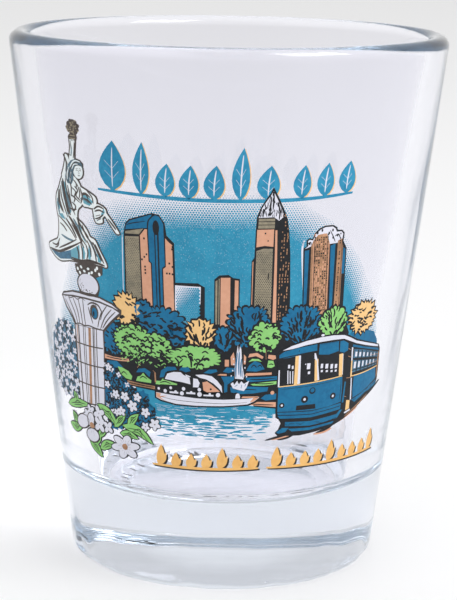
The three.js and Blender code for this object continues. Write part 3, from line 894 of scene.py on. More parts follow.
shore = {
    "water": [
        [(-13.9, 25.2), (-13.7, 25.75), (-12.4, 25.9), (-11.6, 25.3), (-12.6, 25.1)],
        [(-9.9, 24.95), (-9.6, 25.4), (-8.8, 25.55), (-8.15, 25.2), (-8.3, 24.6), (-8.9, 25.1)],
        [(-7.1, 24.7), (-6.9, 25.5), (-6.2, 26.0), (-5.3, 26.05), (-5.1, 25.75), (-6.2, 25.5), (-6.6, 24.8)],
        [(-4.9, 25.65), (-4.6, 26.05), (-3.8, 26.1), (-3.6, 25.7), (-4.2, 25.5)],
        [(-2.2, 25.55), (-1.6, 25.95), (-0.8, 26.0), (-0.7, 25.75), (-1.4, 25.5)],
        [(-0.1, 25.75), (0.3, 26.25), (1.2, 26.15), (1.2, 25.85), (0.5, 25.6)],
        [(2.4, 25.85), (2.7, 26.5), (3.3, 26.95), (3.9, 26.7), (4.4, 26.0), (3.5, 25.75)],
        [(-0.3, 25.2), (1.1, 25.25), (1.1, 24.85), (0.4, 24.3), (0.4, 23.5), (0.05, 23.4), (0.05, 24.5)],
        [(2.3, 25.1), (5.85, 25.15), (5.85, 24.75), (3.9, 24.65), (2.6, 24.6)],
        [(0.7, 24.0), (2.6, 24.1), (4.9, 23.95), (4.8, 23.5), (3.2, 23.3), (1.9, 23.25), (0.8, 23.45)],
        [(4.1, 22.7), (4.6, 23.1), (5.9, 23.2), (5.9, 22.55), (4.7, 22.45)],
    ],
    "lawn": [
        [(-12.3, 25.3), (-11.7, 25.25), (-10.9, 24.95), (-10.45, 24.4), (-10.6, 24.0), (-11.3, 24.1),
         (-11.9, 24.5)],
        [(-10.0, 24.0), (-9.75, 24.5), (-9.4, 24.6), (-9.05, 25.0), (-8.7, 24.6), (-8.1, 24.25),
         (-8.15, 23.95)],
        [(-7.6, 23.9), (-7.5, 24.3), (-7.0, 24.3), (-6.7, 24.65), (-6.1, 24.4), (-5.1, 24.15), (-5.2, 23.9)],
        [(2.9, 24.35), (4.2, 24.5), (5.8, 24.6), (5.8, 24.25), (4.4, 24.15), (3.2, 24.2)],
        [(2.6, 26.85), (3.0, 27.2), (3.7, 27.15), (4.05, 26.85), (3.5, 26.95), (3.0, 26.95)],
        [(4.65, 26.2), (4.75, 26.95), (5.3, 26.9), (5.5, 26.3), (5.1, 26.1)],
    ],
    "walls": [
        [(-14.1, 25.95), (-14.0, 26.45), (-12.8, 26.3), (-10.75, 26.35), (-10.7, 26.05), (-12, 25.95)],
        box(0.08, 26.35, 0.52, 27.1),
        [(0.75, 26.5), (0.68, 27.4), (1.0, 27.95), (1.15, 27.2), (1.15, 26.5)],
        [(2.1, 26.6), (2.1, 27.7), (2.35, 27.4), (2.3, 26.6)],
        [(2.55, 27.35), (2.7, 27.75), (3.5, 27.85), (4.2, 27.4), (4.1, 27.15), (3.4, 27.5)],
        [(4.7, 27.2), (4.75, 27.6), (5.5, 27.5), (5.6, 27.15), (5.3, 27.0)],
        [(-0.7, 25.35), (-0.4, 25.5), (0.3, 25.5), (0.3, 25.3)],
        [(2.25, 25.3), (2.4, 25.6), (5.2, 25.6), (5.2, 25.35)],
        [(2.9, 22.0), (3.4, 22.35), (5.9, 22.2), (5.95, 21.65), (4.3, 21.85)],
        oval(5.4, 23.3, 0.22, 0.22, 10),
    ],
    "bank": [(-11.2, 23.45), (-11.1, 23.9), (-9.5, 23.75), (-7.7, 23.65), (-7.7, 23.3), (-9.2, 23.4)],
    "lines": [
        [(-13.8, 26.2), (-12.4, 26.15), (-10.9, 26.2)], [(-11, 23.68), (-9.5, 23.58), (-7.8, 23.5)],
        [(3.1, 22.1), (4.3, 22.0), (5.6, 21.9)], [(3.4, 24.4), (4.6, 24.35), (5.5, 24.4)],
        [(2.8, 24.9), (4, 24.85), (5.7, 24.95)], [(1.2, 23.75), (2.2, 23.8), (3.6, 23.7)],
        [(-11.9, 24.5), (-11.5, 24.8), (-11.1, 24.5)], [(-9.5, 24.3), (-9.1, 24.6), (-8.6, 24.35)],
        [(-7.1, 24.1), (-6.5, 24.3), (-5.8, 24.1)], [(2.9, 26.2), (3.2, 26.5), (3.5, 26.2)],
        [(4.8, 26.5), (5.1, 26.55), (5.35, 26.45)], [(3.6, 26.3), (3.9, 26.45), (4.1, 26.2)],
    ],
}


def makeShore(part):
    printInk("shoreWater", "blue", 15, part["water"])
    printInk("shoreLawn", "green", 15, part["lawn"], "shrub")
    printInk("shoreWalls", "peach", 15, part["walls"])
    printInk("shoreBank", "copper", 15, [part["bank"]])
    printInk("shoreLines", "black", 16, evenStrokes(part["lines"]))


makeShore(shore)

boat = {
    "shadow": [(-7.75, 23.2), (-7.5, 23.75), (-7.0, 23.95), (-5.7, 24.0), (-4.4, 24.05), (-3.6, 23.8),
               (-2.0, 23.7),
               (-0.5, 23.4), (0.5, 23.2), (1.4, 23.45), (2.0, 23.15), (4.3, 23.0), (3.7, 22.3), (2.8, 21.92),
               (0, 21.72), (-3, 21.66), (-5.4, 21.72), (-7.1, 22.04), (-7.75, 22.35)],
    "hull": [(-7.58, 23.0), (-5.3, 22.82), (-3, 22.66), (0, 22.6), (2.6, 22.72), (3.95, 22.85), (3.4, 22.4),
             (2.65, 22.08), (0, 21.88), (-3, 21.82), (-5.3, 21.88), (-7, 22.2), (-7.58, 22.45)],
    "stern": [(-7.56, 22.95), (-7.0, 22.92), (-7.15, 22.6), (-6.2, 22.72), (-7.1, 22.45), (-6.5, 22.1),
              (-7.56, 22.47)],
    "deck": [[(1.95, 22.8), (2.1, 22.98), (4.0, 22.95), (3.2, 22.8)], [(3.9, 22.82), (3.3, 22.36),
                                                                       (2.9, 22.3), (3.3, 22.8)]],
    "canopyShadow": [[(-6.7, 24.5), (-6.4, 25.35), (-5.55, 25.65), (-4.6, 25.7), (-3.85, 25.4), (-3.4, 25.3),
                      (-3.0, 25.45), (-2.2, 25.55), (-1.2, 25.4), (-0.55, 24.85), (0, 24.15), (0.1, 23.2),
                      (-2.7, 23.2), (-3.45, 23.8), (-4.4, 24.2), (-5.6, 24.3)]],
    "canopyLeft": [(-6.5, 24.6), (-6.2, 25.22), (-5.5, 25.46), (-4.7, 25.5), (-4.35, 25.2), (-3.72, 24.95),
                   (-3.62, 24.2), (-4.5, 24.38), (-5.6, 24.5)],
    "canopyRight": [(-3.1, 25.3), (-2.2, 25.38), (-1.3, 25.22), (-0.72, 24.75), (-0.22, 24.1), (-0.14, 23.35),
                    (-0.45, 23.8), (-1.1, 24.4), (-1.9, 24.85), (-2.6, 25.0)],
    "cabin": [[(-2.3, 24.5), (-1.8, 24.62), (-1.2, 24.2), (-0.4, 23.5), (-1.8, 23.4), (-2.2, 23.6)]],
    "post": [[(-3.35, 23.9), (-3.3, 24.9), (-2.85, 24.85), (-2.6, 24.4), (-2.75, 23.9)],
             [(-4.2, 25.3), (-3.6, 25.1), (-3.65, 25.0), (-4.1, 25.1)]],
    "riders": [(-7.25, 23.45, 0.15), (-6.5, 23.25, 0.2), (-5.85, 23.65, 0.16), (-4.4, 23.65, 0.2),
               (-4.6, 23.12, 0.23),
               (-2.65, 23.65, 0.2), (-2.63, 23.12, 0.26), (-0.6, 23.12, 0.24), (1.55, 23.1, 0.22),
               (-5.3, 23.25, 0.16), (-3.55, 23.3, 0.14), (-1.5, 23.2, 0.13)],
    "benches": [(-6.0, 23.05, -5.0, 23.25), (-4.1, 23.1, -3.1, 23.3), (-2.2, 22.95, -1.1, 23.12),
                (1.3, 22.75, 1.8, 23.05)],
}


def makeBoat(part):
    printInk("boatShadow", "black", 16, [part["shadow"]] + part["canopyShadow"])
    printInk("boatHull", "white", 17, [part["hull"]], "boat_hull")
    printInk("boatStern", "peach", 18, [part["stern"]] + part["deck"] + part["cabin"])
    printInk("boatCanopyLeft", "white", 17, [part["canopyLeft"]], "boat_canopy_left")
    printInk("boatCanopyRight", "white", 17, [part["canopyRight"]] + part["post"], "boat_canopy_right")
    riders = [oval(u, z, size, size * 1.05, 10) for u, z, size in part["riders"]]
    printInk("boatRiders", "white", 17, riders + [box(*bench) for bench in part["benches"]])
    lines = [stroke([(-7.3, 22.6), (-5, 22.3), (0, 22.15), (2.6, 22.3)], 0.05),
             oval(-1.4, 23.75, 0.12, 0.12, 8)]
    printInk("boatLines", "black", 19, lines)


makeBoat(boat)

fountain = {
    "jets": [[(1.2, 25.0), (1.15, 26.2), (1.28, 27.4), (1.42, 28.75), (1.55, 27.9), (1.66, 28.6), (1.8, 28.3),
              (1.88, 27.2), (1.98, 26.3), (2.2, 25.3), (2.1, 24.9)],
             [(0.75, 24.4), (1.0, 24.6), (1.15, 24.3), (1.45, 24.75), (1.65, 24.35), (1.9, 24.7), (2.2, 24.4),
              (2.75, 24.75), (2.5, 24.0), (2.2, 23.6), (1.5, 23.75), (1.0, 23.9)]],
    "streaks": [[(1.3, 25.1), (1.28, 26.4), (1.4, 27.9)], [(1.62, 25.4), (1.58, 26.8), (1.6, 28.0)],
                [(1.85, 25.2), (1.8, 26.2), (1.85, 27.2)], [(2.05, 25.1), (2.0, 25.9)], [(1.2, 24.1),
                                                                                         (1.5, 24.3)],
                [(1.9, 23.9), (1.95, 24.3)], [(2.3, 24.1), (2.4, 24.4)]],
    "drops": [(1.0, 27.2), (1.05, 26.6), (0.95, 25.9), (2.2, 26.9), (2.25, 26.2), (0.8, 25.3), (2.45, 25.2)],
}


def makeFountain(part):
    drops = [oval(u, z, 0.07, 0.1, 6) for u, z in part["drops"]]
    printInk("fountainSpray", "white", 17, part["jets"] + drops, "fountain_spray")
    printInk("fountainStreaks", "blue", 18, evenStrokes(part["streaks"], 0.15))


makeFountain(fountain)

lake = {
    "surface": [(-9.4, 20.7), (-10.2, 23.6), (-7.6, 23.5), (-7.4, 22.2), (3, 21.9), (6.1, 21.5), (6.3, 20.9),
                (3, 20.6), (-2, 20.75), (-6, 20.6)],
    # ripples, in rows that draw in and thin out towards the bottom
    "top": 20.75,
    "left": -8.6,
    "right": 6.2,
    "drawIn": (1.2, 1.6),
    "rows": 27,
    "rowPitch": 0.105,
    "columns": 14,
    "columnPitch": 1.08,
    "glints": 60,
}


def makeLake(part):
    dice = random.Random(31)
    printInk("lakeSurface", "sky", 0, [part["surface"]], "lake_tint")
    blue, pale = [], []
    for row in range(part["rows"]):
        z = part["top"] - row * part["rowPitch"]
        share = row / (part["rows"] - 1)
        left, right = part["left"] + share * part["drawIn"][0], part["right"] - share * part["drawIn"][1]
        for column in range(part["columns"]):
            if dice.random() < 0.85 - 0.66 * share:
                u = left + column * part["columnPitch"] + dice.uniform(-0.6, 0.6)
                length = dice.uniform(0.7, 2.4) * (1 - 0.35 * share)
                if u + length < right:
                    blue.append(stroke([(u, z), (u + length / 2, z + 0.04), (u + length, z)], 0.13, 0.3, 3))
    for _ in range(part["glints"]):
        u, z = dice.uniform(-7.8, 4.6), dice.uniform(20.7, 21.8)
        pale.append(stroke([(u, z), (u + dice.uniform(0.3, 1.1), z + dice.uniform(-0.03, 0.03))], 0.08, 0.3))
    printInk("lakeStreaks", "sky", 1, blue)
    printInk("lakeGlints", "white", 2, pale)


makeLake(lake)
print("shore and boat printed")


# tram

tram = {
    "shadow": [(5.85, 24), (5.8, 27.6), (6.3, 28.15), (7.3, 28.62), (9, 29.05), (10.7, 29.3), (12.3, 29.33),
               (13.9, 29.2), (14.8, 28.8), (15.8, 28.3), (17.4, 27.8), (19.0, 27.35), (19.9, 27.05),
               (20.25, 26.5),
               (20.45, 24.6), (20.55, 23.0), (20.4, 22.55), (17.5, 20.55), (15.0, 19.25), (13.3, 18.65),
               (11, 18.35),
               (9, 18.15), (6.3, 18.3), (5.95, 18.65), (6.35, 19.05), (6.6, 19.7), (6.3, 20.2), (5.95, 20.4),
               (5.88, 21.2)],
    "roof": [(6.3, 27.98), (7.3, 28.44), (9, 28.88), (10.7, 29.12), (12.3, 29.17), (13.75, 29.02),
             (14.7, 28.63),
             (15.7, 28.13), (17.3, 27.68), (18.9, 27.24), (19.8, 26.96), (19.75, 26.8), (18.7, 27.02),
             (17.2, 27.4),
             (15.7, 27.84), (14.7, 28.24), (13.8, 28.6), (12.3, 28.66), (10.7, 28.6), (9, 28.42),
             (7.4, 28.1)],
    "fascia": [(5.95, 27.15), (5.95, 27.5), (6.5, 27.85), (8, 28.16), (10.3, 28.4), (10.35, 27.62),
               (8.6, 27.4),
               (7.0, 27.12), (6.4, 27.1)],
    "sign": [(10.6, 27.2), (10.6, 28.38), (13.1, 28.42), (13.2, 27.3), (11.9, 27.05)],
    "cheek": [(13.35, 27.2), (13.3, 28.4), (13.8, 28.4), (14.5, 28.0), (14.55, 27.2), (14.0, 27.0)],
    "sideFascia": [(15.2, 27.5), (15.25, 27.75), (17.2, 27.2), (19.8, 26.62), (20.1, 26.3), (17.4, 26.95)],
    "pillars": [[(7.8, 27.25), (8.2, 27.3), (8.25, 24.08), (7.84, 24.04)],
                [(10.15, 26.7), (10.6, 26.72), (10.72, 24.25), (10.35, 24.2)],
                [(13.35, 26.9), (13.85, 26.95), (14.1, 24.45), (13.6, 24.4)],
                [(15.2, 21.4), (15.75, 21.3), (15.8, 20.35), (15.2, 20.2)],
                [(15.25, 25.9), (15.42, 25.9), (15.62, 24.1), (15.38, 24.0)]],
    "frames": [[(8.2, 27.3), (8.42, 27.3), (8.56, 24.12), (8.25, 24.08)],
               [(10.05, 27.4), (10.2, 27.4), (10.55, 26.5), (10.95, 24.3), (10.72, 24.25), (10.42, 26.5),
                (10.1, 26.8)],
               [(5.98, 23.9), (5.96, 25.8), (6.1, 25.8), (6.16, 23.9)],
               [(15.1, 27.45), (15.3, 27.4), (15.42, 25.9), (15.24, 25.9)],
               [(15.5, 23.9), (15.66, 23.9), (15.95, 21.4), (15.78, 21.3)],
               [(13.85, 26.9), (13.92, 26.9), (14.16, 24.5), (14.1, 24.5)],
               [(15.0, 20.0), (15.9, 20.3), (16.0, 20.1), (15.2, 19.85)]],
    "sills": [[(6.1, 23.92), (10, 24.08), (14.1, 24.35)], [(15.5, 24.1), (17.5, 24.2), (20.1, 24.5)]],
    "panes": [(9.25, 25.67, 0.4, 0.66), (9.42, 25.1, 0.28, 0.3), (10.98, 25.6, 0.3, 0.5),
              (11.6, 25.5, 0.36, 0.52),
              (12.28, 25.4, 0.34, 0.52), (12.88, 25.38, 0.32, 0.46), (11.05, 25.15, 0.26, 0.24),
              (11.7, 25.08, 0.28, 0.22),
              (12.36, 25.0, 0.28, 0.22), (12.94, 24.98, 0.26, 0.22), (7.0, 25.95, 0.24, 0.4),
              (7.45, 25.85, 0.2, 0.36),
              (9.0, 26.2, 0.14, 0.12)],
    "bars": [[(7.02, 25.7), (7.12, 24.2)], [(7.28, 25.6), (7.4, 24.2)], [(7.6, 25.6), (7.68, 24.2)]],
    "front": [(6.05, 23.85), (10, 24.0), (14.15, 24.25), (14.3, 23), (14.34, 21.35), (12.4, 21.05),
              (10.3, 20.9),
              (6.1, 21.08)],
    "side": [(15.95, 24.05), (17.6, 24.2), (19.85, 24.4), (20.15, 23.1), (18.1, 22.0), (16.2, 21.5),
             (16.0, 22.4)],
    "skirt": [[(6.1, 21.0), (10.3, 20.8), (14.35, 21.22), (14.4, 20.92), (10.3, 20.5), (6.2, 20.7)],
              [(6.15, 20.62), (10.3, 20.42), (14.4, 20.84), (14.35, 20.5), (10.3, 20.1), (6.45, 20.28)],
              [(7.1, 19.86), (10.2, 19.68), (13.9, 20.0), (14.3, 20.4), (14.7, 20.4), (14.0, 19.5),
               (10.2, 19.15),
               (7.1, 19.38)],
              [(6.1, 18.75), (6.6, 19.05), (6.75, 19.2), (7.6, 19.15), (7.2, 18.7), (6.4, 18.55)],
              [(7.5, 19.05), (10.2, 18.95), (13.6, 19.25), (13.4, 19.0), (10.2, 18.65), (8, 18.7)],
              [(16.0, 21.3), (17.5, 21.75), (20.2, 22.85), (20.35, 22.7), (18.8, 22.05), (17.8, 21.5),
               (16.6, 20.95)],
              [(18.1, 21.7), (18.9, 22.15), (20.4, 22.6), (20.3, 22.4), (19.2, 21.95)],
              [(14.5, 21.2), (14.6, 23.6), (14.78, 23.6), (14.76, 21.2)]],
    "glazing": [[(15.5, 27.2), (15.5, 24.5), (19.9, 24.7), (20.0, 26.1), (17.5, 26.8)]],
    "lamps": [(6.58, 21.78, 0.13, 0.32), (9.3, 22.25, 0.16, 0.44), (13.05, 22.2, 0.15, 0.4)],
    "board": [(8.3, 21.08), (8.33, 21.62), (10.72, 21.6), (10.8, 21.05)],
    "lines": [([(5.95, 27.1), (8.5, 27.45), (10.4, 27.65)], 0.12), ([(10.5, 27.1), (10.5, 28.5)], 0.16),
              ([(8.15, 27.7), (8.2, 27.9)], 0.2), ([(10.7, 28.3), (13, 28.35)], 0.06),
              ([(6.3, 23.6), (10, 23.75), (13.9, 24.0)], 0.05),
              ([(14.0, 24.1), (14.1, 22.6), (14.05, 21.6)], 0.07),
              ([(15.5, 26.05), (17.8, 25.75), (20.0, 25.45)], 0.3, 0.7),
              ([(15.5, 24.75), (17.8, 24.82), (20.0, 24.9)], 0.12, 0.8)],
    "rust": [([(14.6, 27.4), (14.95, 27.2)], 0.2), ([(14.7, 26.5), (15.1, 26.35)], 0.22),
             ([(14.8, 24.0), (15.5, 23.95)], 0.2), ([(14.8, 21.9), (15.1, 21.8)], 0.14),
             ([(20.05, 26.2), (20.2, 24.6), (20.3, 23.2)], 0.2), ([(18, 25.0), (20.2, 25.1)], 0.14),
             ([(18.4, 26.0), (20.2, 25.9)], 0.12), ([(15.2, 19.55), (17.4, 20.7), (18.8, 21.5)], 0.16)],
}


def makeTram(part):
    dice = random.Random(17)
    printInk("tramShadow", "black", 20, [part["shadow"]], "tram_shadow")
    printInk("tramRoof", "white", 22, [part["roof"], oval(10.9, 29.33, 0.22, 0.14, 10)], "tram_roof")
    printInk("tramFascia", "blue", 21, [part["fascia"], part["sign"], part["cheek"], part["sideFascia"]])
    printInk("tramFront", "blue", 21, [part["front"]], "tram_front_panel")
    printInk("tramSide", "blue", 21, [part["side"]], "tram_side_panel")
    printInk("tramSkirt", "blue", 21, part["skirt"], "tram_skirt")
    printInk("tramPillars", "straw", 22, part["pillars"] + evenStrokes(part["sills"], 0.12, 0.9))
    frames = part["frames"] + [window(*pane) for pane in part["panes"]]
    frames += evenStrokes(part["bars"], 0.14, 0.8)
    glints = []
    windows, windowPitch = 6, 0.68
    for i in range(windows):  # two rows of side windows, which run together towards the far end
        far = i * windowPitch
        u, wide = 15.75 + far, 0.32 - i * 0.035
        for top, topFall, bottom, bottomFall in ((26.85, 0.2, 26.3, 0.14), (25.7, 0.08, 24.95, -0.02)):
            glints.append([
                (u, top - topFall * far), (u + wide, top - topFall * (far + wide)),
                (u + wide, bottom - bottomFall * (far + wide)), (u, bottom - bottomFall * far),
            ])
    printInk("tramFrames", "white", 23, frames + glints)
    printInk("tramGlazing", "steel", 21, part["glazing"])
    lamps = [oval(u, z, size, size, 12) for u, z, size, halo in part["lamps"]]
    printInk("tramLamps", "white", 23, lamps)
    lines = [oval(u, z, halo, halo * 0.95, 14) for u, z, size, halo in part["lamps"]]
    lines += [part["board"], oval(10.2, 23.15, 0.4, 0.38, 14)]
    lines += strokes(part["lines"])
    for i in range(windows):
        u = 16.22 + i * windowPitch
        lines.append(stroke([(u, 27.0 - i * 0.15), (u, 24.5 + i * 0.04)], 0.2 - i * 0.015, 0.8))
    for _ in range(14):
        u = dice.uniform(16.2, 20.2)
        z = 21.4 + (u - 16.2) * 0.3 + dice.uniform(-0.5, 0.1)
        lines.append(stroke([(u, z), (u + 0.5, z + 0.2)], 0.12))
    for _ in range(12):
        u = dice.uniform(6.6, 13.6)
        ends = [(u, 19.4 + dice.uniform(-0.12, 0.3)), (u + 0.7, 19.42 + dice.uniform(-0.1, 0.2))]
        lines.append(stroke(ends, 0.1))
    printInk("tramLines", "black", 22, lines)
    printInk("tramRing", "blue", 23, [oval(10.2, 23.2, 0.26, 0.24, 12)])
    printInk("tramRust", "copper", 23, strokes(part["rust"]))


makeTram(tram)

ground = {
    "dark": [[(4.8, 17.85), (6.4, 18.2), (7.9, 18.45)], [(6.3, 17.85), (7.4, 18.0), (8.4, 18.35)],
             [(13.2, 18.75), (16.4, 20.2), (19.6, 21.8), (21.2, 22.7)], [(11.2, 18.2), (12.4, 18.4),
                                                                         (13.4, 18.7)]],
    "peach": [[(5.6, 17.9), (6.8, 18.15), (7.8, 18.25)], [(10.9, 18.05), (12.3, 18.2), (13.4, 18.45)],
              [(14.2, 19.0), (15.8, 19.7), (17.2, 20.3)]],
}


def makeGround(part):
    printInk("groundStrokes", "black", 19, evenStrokes(part["dark"], 0.24, 0.1))
    printInk("groundWarm", "peach", 18, evenStrokes(part["peach"], 0.3, 0.1))


makeGround(ground)
print("tram printed")


# column and statue

column = {
    "capitalShadow": [(-20.6, 31.95), (-20.2, 32.4), (-18.4, 32.85), (-16.3, 32.92), (-14.1, 32.8),
                      (-12.3, 32.3),
                      (-11.3, 31.7), (-11.35, 31.2), (-12.6, 30.15), (-13.85, 28.85), (-18.5, 28.85),
                      (-19.0, 29.7),
                      (-19.9, 30.7)],
    "capital": [(-20.35, 31.9), (-18.3, 32.15), (-16.3, 32.2), (-14.1, 32.1), (-12.4, 31.75), (-11.6, 31.35),
                (-12.8, 30.3), (-14.05, 29.05), (-18.25, 29.05), (-18.8, 29.9), (-19.7, 30.8)],
    "rim": [(-20.3, 32.05), (-20.1, 32.22), (-18.4, 32.66), (-16.3, 32.73), (-14.1, 32.62), (-12.5, 32.16),
            (-11.7, 31.65), (-12.5, 31.95), (-14.1, 32.3), (-16.3, 32.4), (-18.3, 32.33)],
    "fan": [[(-19.9, 31.6), (-18.9, 30.2), (-18.3, 29.2)], [(-19.2, 31.95), (-18.3, 30.4), (-17.95, 29.2)],
            [(-18.4, 32.05), (-17.75, 30.6), (-17.6, 29.2)], [(-17.5, 32.1), (-17.2, 30.6), (-17.1, 29.2)],
            [(-16.7, 32.1), (-16.7, 30.5), (-16.6, 29.2)], [(-13.9, 31.3), (-14.4, 30.2), (-14.7, 29.3)],
            [(-12.6, 31.6), (-13.6, 30.5), (-14.3, 29.2)], [(-13.2, 31.9), (-13.9, 31.0), (-14.2, 30.2)],
            [(-12.1, 31.4), (-13.2, 30.35), (-14.0, 29.3)]],
    "scallops": [[(-19.9, 31.85), (-19.4, 32.1), (-18.9, 31.9), (-18.2, 32.15), (-17.6, 31.95), (-17, 32.2),
                  (-16.3, 32.0)]],
    "rosette": (-14.95, 30.95, 0.62, 0.85),
    "shaftShadow": [(-18.6, 29.2), (-19.1, 20.0), (-14.5, 20.1), (-13.8, 29.2)],
    "shaft": [(-18.42, 29.0), (-18.45, 27), (-18.9, 20.2), (-14.72, 20.3), (-14.1, 27), (-14.02, 29.0)],
    "flutes": [(-17.85, -18.35, 0.2), (-17.05, -17.6, 0.12), (-16.75, -17.3, 0.1), (-15.45, -16.15, 0.16),
               (-15.25, -15.95, 0.08), (-14.95, -15.6, 0.12)],
    "copper": [(-16.22, 29.0), (-15.82, 29.0), (-16.2, 25), (-16.75, 20.2), (-17.15, 20.2), (-16.6, 25)],
    "copperThin": [(-18.2, 29.0), (-18.05, 29.0), (-18.3, 25), (-18.4, 25)],
    "joints": [26.95, 24.75, 22.4],
    "globe": (-15.65, 33.85, 1.55, 1.3),
    "globeFoot": [(-17.15, 33.05), (-16.2, 32.98), (-14.8, 32.98), (-14.15, 33.1), (-14.4, 32.7),
                  (-15.6, 32.62),
                  (-17, 32.68)],
    "neck": [(-18.3, 29.1), (-17.6, 29.25), (-16.8, 29.15), (-16, 29.25), (-15, 29.12), (-14, 29.1)],
    "scrolls": [([(-16.0, 31.6), (-15.3, 31.95), (-14.4, 31.8), (-13.95, 31.1)], 0.2),
                ([(-15.9, 31.4), (-15.7, 30.6), (-15.4, 29.6)], 0.16), ([(-15.1, 32.1), (-14.6, 31.6)],
                                                                        0.12)],
}


def makeColumn(part):
    u, z, wide, tall = part["globe"]
    printInk("columnShadow", "umber", 18, [part["shaftShadow"], part["capitalShadow"]])
    printInk("columnShaft", "white", 19, [part["shaft"]], "column_shaft")
    printInk("columnCapital", "white", 19, [part["capital"], part["rim"]], "column_capital")
    printInk("globeShadow", "umber", 17, [oval(u, z, wide + 0.14, tall + 0.12, 26)])
    printInk("columnGlobe", "white", 19, [oval(u, z + 0.04, wide - 0.05, tall - 0.1, 26)], "column_globe")
    printInk("globeFoot", "umber", 20, [part["globeFoot"]])
    dice = random.Random(3)
    stipple = []
    for _ in range(46):
        turn, share = dice.uniform(2.6, 5.3), math.sqrt(dice.uniform(0.25, 0.95))
        across, up = wide * 0.9 * share * math.cos(turn), tall * 0.85 * share * math.sin(turn)
        stipple.append(oval(u + across, z + up, 0.05, 0.05, 6))
    printInk("globeStipple", "umber", 20, stipple)
    lines = evenStrokes(part["fan"], 0.13, 0.6) + evenStrokes(part["scallops"], 0.1)
    for top, foot, width in part["flutes"]:
        lines.append(stroke([(top, 29.1), ((top + foot) / 2, 25), (foot, 20.25)], width, 0.9))
    for z in part["joints"]:
        lines.append(stroke([(-18.85, z + 0.05), (-16.4, z - 0.05), (-14.2, z + 0.02)], 0.15, 0.9))
    lines.append(stroke(part["neck"], 0.15, 0.8))
    u, z, wide, tall = part["rosette"]
    lines += [oval(u - 0.1, z, wide, tall, 16)] + strokes(part["scrolls"])
    printInk("columnLines", "umber", 21, lines)
    printInk("columnCopper", "copper", 20, [part["copper"], part["copperThin"]])
    printInk("columnRosette", "blue", 22, [oval(u - 0.05, z - 0.1, wide * 0.62, tall * 0.72, 14)])
    printInk("columnRosetteMark", "black", 23, [oval(u - 0.2, z - 0.2, wide * 0.2, tall * 0.35, 10)])


makeColumn(column)

